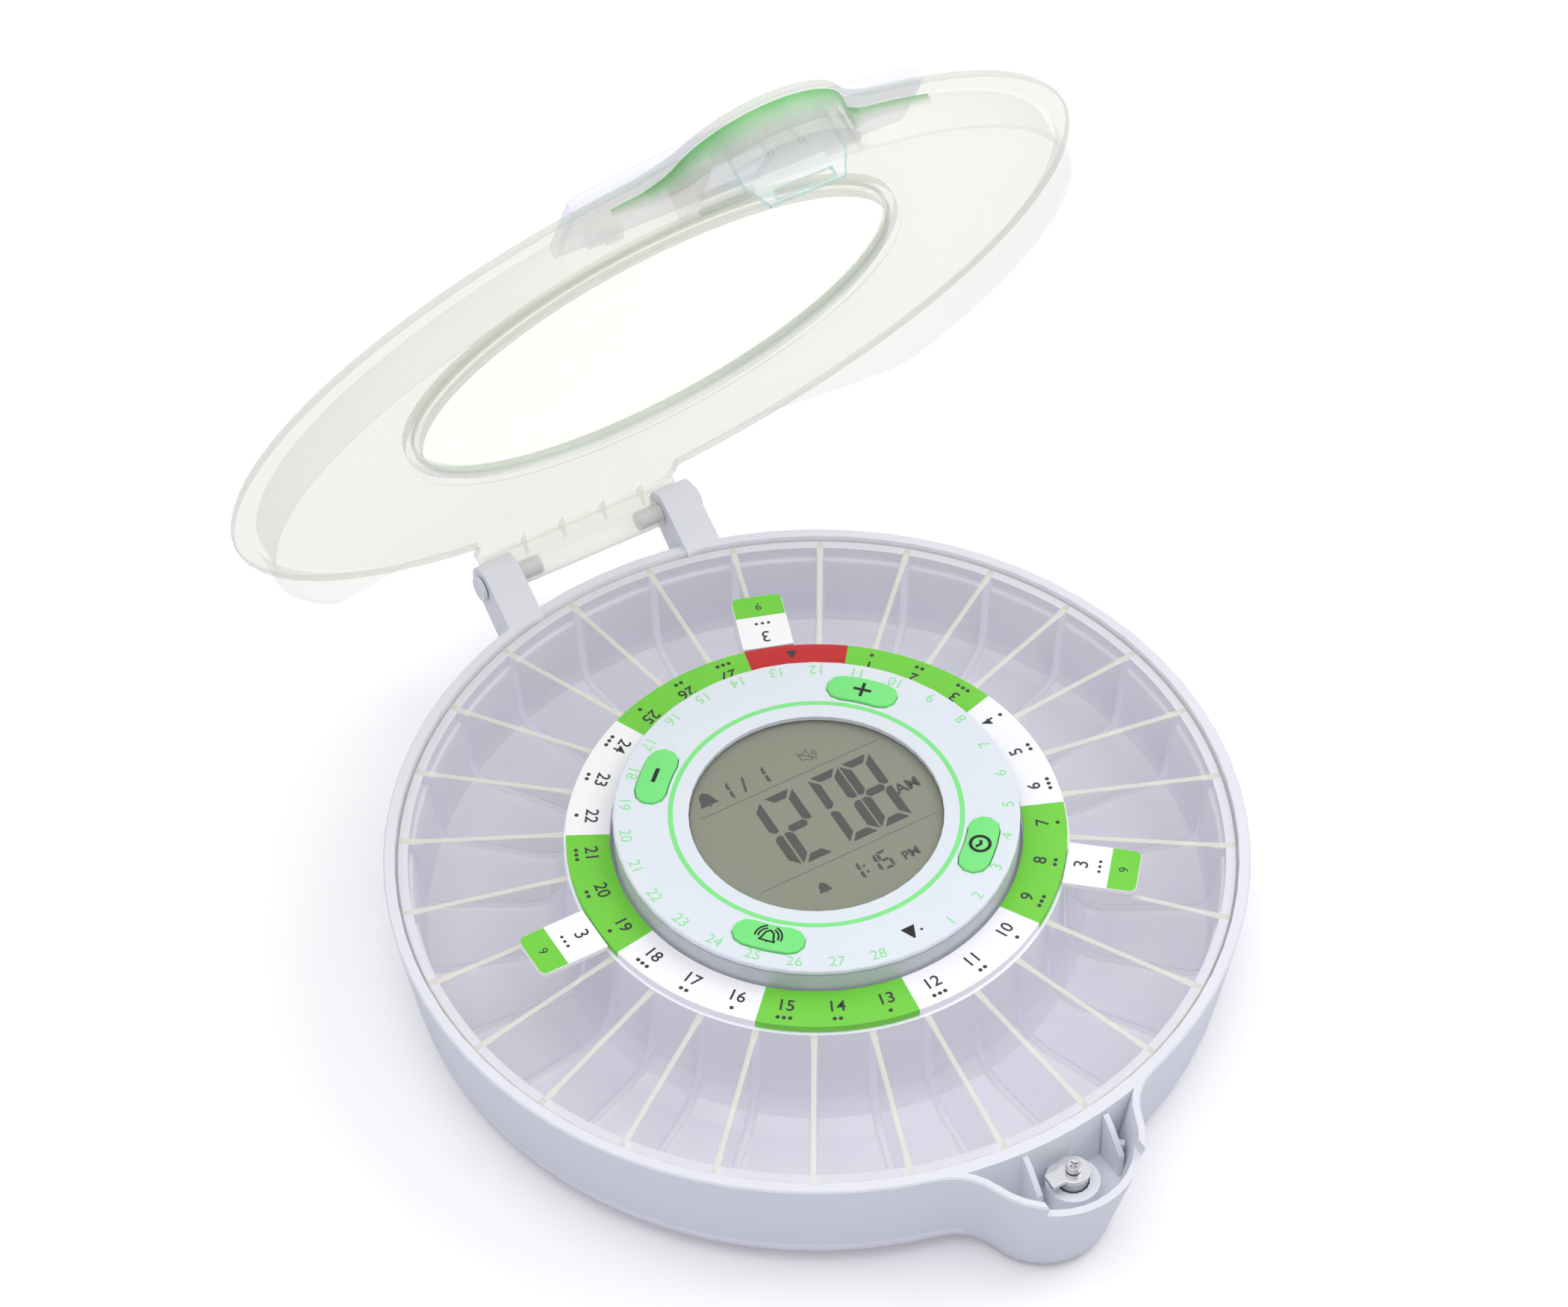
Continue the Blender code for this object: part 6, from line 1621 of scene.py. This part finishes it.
@dataclass(frozen=True)
class Lid:
    """Lid with its window, latch tongue, green band and dose door.

    Attributes:
        hinge: Y and Z of the hinge axis.
        opening: How far the lid stands open, in radians.
        shell_edge: Width of the eased edges of the shell.
        tongue_edge: Width of the eased edges of the latch tongue.
        door_edge: Width of the eased edges of the dose door.
        pin_edge: Width of the eased edges of the dose door's pins.
        outline: Body radius, front, lug radius and fillet radius of the cap's wall.
        lug_x: X of the lug.
        band: Inset from the cap's line and height at the corners of the green band's section.
        band_easing: Radius of its eased corners.
        band_reach: How far the band goes on past the fillets, in degrees, at +X and at -X.
        taper: Shares of the band's length from its +X end, and the share of its depth at each.
        plate_low: Height of the underside of the plate.
        leaf: How far in front of the hinge axis the leaf starts.
        level: Least height of a normal, as a share, on a face that doesn't count as an edge.
        pane: Height of the underside and of the top of the window.
        pane_radius: Radius of the window.
        pane_bevel: Width and drop of the bevel round its top.
        pane_rounding: Radius and steps of the rounded corners of its section.
        pane_steps: Steps round the window.
        pane_rim: Width of the rim of the window that has a finish of its own, with the painted shade.
    """

    hinge: tuple[float, float] = (0.1115, 0.0355)
    opening: float = math.radians(64.7)
    shell_edge: float = 0.00035
    tongue_edge: float = 0.0003
    door_edge: float = 0.0003
    pin_edge: float = 0.00012
    outline: tuple[float, float, float, float] = (0.1022, 0.1226, 0.0205, 0.0140)
    lug_x: float = 0.0015
    band: tuple = ((-0.0006, 0.0426), (-0.0005, 0.0360), (-0.0002, 0.0358), (-0.0001, 0.0426))
    band_easing: float = 0.0003
    band_reach: tuple[float, float] = (10.0, 2.5)
    taper: tuple = ((0.0, 0.14, 0.3, 0.65, 1.0), (0.34, 0.46, 1.0, 1.0, 0.2))
    plate_low: float = 0.0427
    leaf: float = 0.0012
    level: float = 0.6
    pane: tuple[float, float] = (0.0450, 0.0466)
    pane_radius: float = 0.0614
    pane_bevel: tuple[float, float] = (0.0008, 0.0004)
    pane_rounding: tuple[float, int] = (0.0002, 3)
    pane_steps: int = 144
    pane_rim: float = 0.0009

    def swing(self) -> Matrix:
        """Finds the placing that swings the closed lid open."""
        axis = Vector((0.0, *self.hinge))
        return Matrix.Translation(axis) @ Matrix.Rotation(-self.opening, 4, "X") @ Matrix.Translation(-axis)

    def build(self) -> None:
        """Makes the lid."""
        shell = refine("lid_shell", LID_CLEAR, self.shell_edge)
        self.part_shell(shell.data)
        refine("latch_tongue", LATCH_CLEAR, self.tongue_edge, rim=LATCH_CLEAR_EDGE)
        refine("dose_door", LILAC_GREY_ABS, self.door_edge, 3)
        for number in (1, 2):
            refine(f"dose_door_pin_{number}", ZINC, self.pin_edge)
        self.build_pane()
        self.build_band()

    def part_shell(self, mesh: Mesh) -> None:
        """Gives the lid's edges, its wall and its hinge their own finishes. The upright edges are painted
        grey as painted shade.

        The middles of the faces are swung back to the closed lid, where the wall lies under the
        plate and the hinge behind it.

        Args:
            mesh: Mesh of the lid.
        """
        for finish in (LID_CLEAR_EDGE_SHADED, LID_WALL, LID_HINGE):
            mesh.materials.append(finish.material())
        back = np.array(self.swing().inverted())
        closed = face_values(mesh, "center") @ back[:3, :3].T + back[:3, 3]
        # Upright faces take the grey painted shade of the edge finish
        upright = np.abs(face_values(mesh, "normal") @ back[2, :3]) < self.level
        hinge = closed[:, 1] > self.hinge[0] - self.leaf
        wall = closed[:, 2] < self.plate_low
        mark_faces(mesh, np.select([hinge, wall, upright], [3, 2, 1], 0))

    def build_pane(self) -> None:
        """Makes the polished window with a rounded edge, its rim painted a grey green line of painted shade.
        """
        bevel, rounding = self.pane_bevel, self.pane_rounding
        mesh = disc_mesh("lid_window", self.pane, self.pane_radius, bevel, rounding, self.pane_steps)
        x, y, _ = face_values(mesh, "center").T
        # The rim takes the grey green painted shade of the edge finish
        mark_faces(mesh, np.hypot(x, y) > self.pane_radius - self.pane_rim)
        mesh.transform(self.swing())
        place_piece("lid_window_finished", mesh, [PANE_CLEAR, PANE_CLEAR_EDGE_SHADED], Body.LID, ["lid_window"])

    def cap_curve(self, inset: float, steps: int = 24) -> np.ndarray:
        """Finds the line along the wall of the lug cap, with both hollow fillets.

        The fillets' centres lie where circles of radius R + f about the body and r + f about the
        lug meet, and each arc is (c + q cos a, d + q sin a) about its own centre.

        Args:
            inset: How far inside the cap's wall the line runs.
            steps: Steps on each arc.

        Returns:
            Plan points from +X to -X.
        """
        body_radius, front, lug_radius, fillet = self.outline
        body, lug, hollow = body_radius - inset, lug_radius - inset, fillet + inset
        centre = np.array([self.lug_x, lug_radius - front])
        distance = float(np.linalg.norm(centre))
        along = ((body + hollow) ** 2 - (lug + hollow) ** 2 + distance**2) / (2.0 * distance)
        across = math.sqrt((body + hollow) ** 2 - along**2)
        forward = centre / distance
        side = np.array([-forward[1], forward[0]])
        right = forward * along + side * across
        left = forward * along - side * across
        before = arc_points(body, heading(right) + self.band_reach[0], heading(right), steps // 2)
        after = arc_points(body, heading(left), heading(left) - self.band_reach[1], steps // 4)
        first = short_arc(right, hollow, -right, centre - right, steps)
        start, end = heading(right - centre), heading(left - centre)
        lug_arc = arc_points(lug, start, start - (start - end) % 360.0, 2 * steps, centre)
        last = short_arc(left, hollow, centre - left, -left, steps)
        return np.concatenate([before, first[1:], lug_arc[1:], last[1:], after[1:]])

    def build_band(self) -> None:
        """Makes the green band on the wall under the plate's brim.

        Its rows run along the cap's line at the insets and heights of its closed section, whose
        depth tapers toward the ends. Its colour fades with the depth below the plate.
        """
        section = eased(self.band, self.band_easing, steps=2)
        plan = np.stack([self.cap_curve(inset) for inset in section[:, 0]])
        top = section[:, 1].max()
        depth = np.interp(np.linspace(0.0, 1.0, plan.shape[1]), *self.taper)
        z = top - (top - section[:, 1])[:, None] * depth
        points = np.concatenate([plan, z[..., None]], -1)
        count, columns = points.shape[:2]
        faces = grid_faces(count, columns, True, False).tolist()
        start, end = (list(range(first, count * columns, columns)) for first in (0, columns - 1))
        mesh = bpy.data.meshes.new("cap_insert")
        mesh.from_pydata(points.reshape(-1, 3).tolist(), [], [*faces, start, end[::-1]])
        fade = np.repeat((top - section[:, 1]) / np.ptp(section[:, 1]), columns)
        mesh.attributes.new("fade", "FLOAT", "POINT").data.foreach_set("value", fade.astype(np.float32))
        mesh.shade_smooth()
        mesh.set_sharp_from_angle(angle=CREASE)
        mesh.transform(self.swing())
        place_piece("cap_insert_finished", mesh, [GREEN_BAND], Body.LID, ["cap_insert"])


@dataclass(frozen=True)
class Studio:
    """Floor, light and camera.

    Attributes:
        camera_place: Place of the camera.
        target: Point that it looks at.
        roll: Turn of the picture in degrees.
        focal: Focal length in pixels of the photograph's frame.
        sensor: Width of the camera's sensor in millimetres.
        reach: Nearest and farthest distance that the camera sees.
        floor_half: Half of the floor's side.
        surround: Strength of the light from all round.
        lamps: Name, place, side and power in watts of each lamp.
        aim: Point that the lamps face.
    """

    camera_place: tuple[float, float, float] = (-0.3753, -0.6357, 0.9059)
    target: tuple[float, float, float] = (0.02398, 0.05579, 0.033)
    roll: float = -0.77
    focal: float = 6438.8
    sensor: float = 36.0
    reach: tuple[float, float] = (0.05, 20.0)
    floor_half: float = 3.0
    surround: float = 0.68
    lamps: tuple = (("key", (-0.35, -0.1, 1.8), 1.4, 10.5), ("fill", (1.1, -0.2, 1.2), 1.0, 6.5))
    aim: tuple[float, float, float] = (0.0, 0.0, 0.05)

    def build(self) -> None:
        """Makes the stage."""
        self.build_camera()
        self.build_floor()
        self.build_light()
        bpy.context.scene.view_settings.view_transform = "Standard"

    def build_camera(self) -> None:
        """Makes the camera, its axes found from the target and the roll."""
        data = bpy.data.cameras.new("camera")
        data.sensor_width = self.sensor
        data.lens = self.focal / PICTURE_WIDTH * self.sensor
        data.clip_start, data.clip_end = self.reach
        camera = bpy.data.objects.new("camera", data)
        bpy.context.scene.collection.objects.link(camera)
        ahead = (Vector(self.target) - Vector(self.camera_place)).normalized()
        right = ahead.cross(Vector((0.0, 0.0, 1.0))).normalized()
        up = right.cross(ahead)
        turn = math.radians(self.roll)
        tilted = right * math.cos(turn) + up * math.sin(turn)
        raised = up * math.cos(turn) - right * math.sin(turn)
        axes = Matrix((tilted, raised, -ahead)).transposed()
        camera.matrix_world = Matrix.Translation(self.camera_place) @ axes.to_4x4()
        bpy.context.scene.camera = camera

    def build_floor(self) -> None:
        """Makes the pale floor, which keeps the shadow of the pill box."""
        half, level = self.floor_half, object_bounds()[0].z
        corners = ((-half, -half), (half, -half), (half, half), (-half, half))
        mesh = bpy.data.meshes.new("floor")
        mesh.from_pydata([(*corner, level) for corner in corners], [], [(0, 1, 2, 3)])
        floor = bpy.data.objects.new("floor", mesh)
        bpy.context.scene.collection.objects.link(floor)
        mesh.materials.append(FLOOR_PAPER.material())
        floor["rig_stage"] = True

    def build_light(self) -> None:
        """Makes an even surround and the lamps: a large soft one overhead, and one from the right."""
        world = bpy.data.worlds.new("studio")
        world.use_nodes = True
        tree = world.node_tree
        tree.nodes.clear()
        ray = add_node(tree, "ShaderNodeLightPath")
        seen = ray.outputs["Is Camera Ray"]
        for kind in ("Is Glossy Ray", "Is Transmission Ray"):
            inputs = {0: seen, 1: ray.outputs[kind]}
            seen = add_node(tree, "ShaderNodeMath", inputs, operation="MAXIMUM").outputs[0]
        plain = add_node(tree, "ShaderNodeBackground", {"Color": linear("FFFFFF"), "Strength": 1.0})
        light = add_node(tree, "ShaderNodeBackground", {"Color": linear("FBFBFF"), "Strength": self.surround})
        mix = add_node(tree, "ShaderNodeMixShader", {0: seen, 1: light.outputs[0], 2: plain.outputs[0]})
        add_node(tree, "ShaderNodeOutputWorld", {"Surface": mix.outputs[0]})
        bpy.context.scene.world = world
        for lamp in self.lamps:
            self.add_lamp(*lamp)

    def add_lamp(self, name: str, place: tuple[float, float, float], size: float, power: float) -> None:
        """Adds one square lamp that faces the pill box.

        Args:
            name: Name of the lamp.
            place: Where it stands.
            size: Its side.
            power: Its power in watts.
        """
        data = bpy.data.lights.new(name, "AREA")
        data.size = size
        data.energy = power
        lamp = bpy.data.objects.new(name, data)
        bpy.context.scene.collection.objects.link(lamp)
        lamp.location = place
        ahead = Vector(self.aim) - Vector(place)
        lamp.rotation_euler = ahead.to_track_quat("-Z", "Y").to_euler()


def main() -> None:
    """Dresses the pill box and sets the stage."""
    logging.basicConfig(level=logging.INFO, format="%(name)s %(message)s")
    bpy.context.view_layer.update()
    for part in (BaseShell, Power, Tray, Dial, Module, Keys, FacePrint, Display, Lid, Studio):
        part().build()


if __name__ == "__main__":
    main()
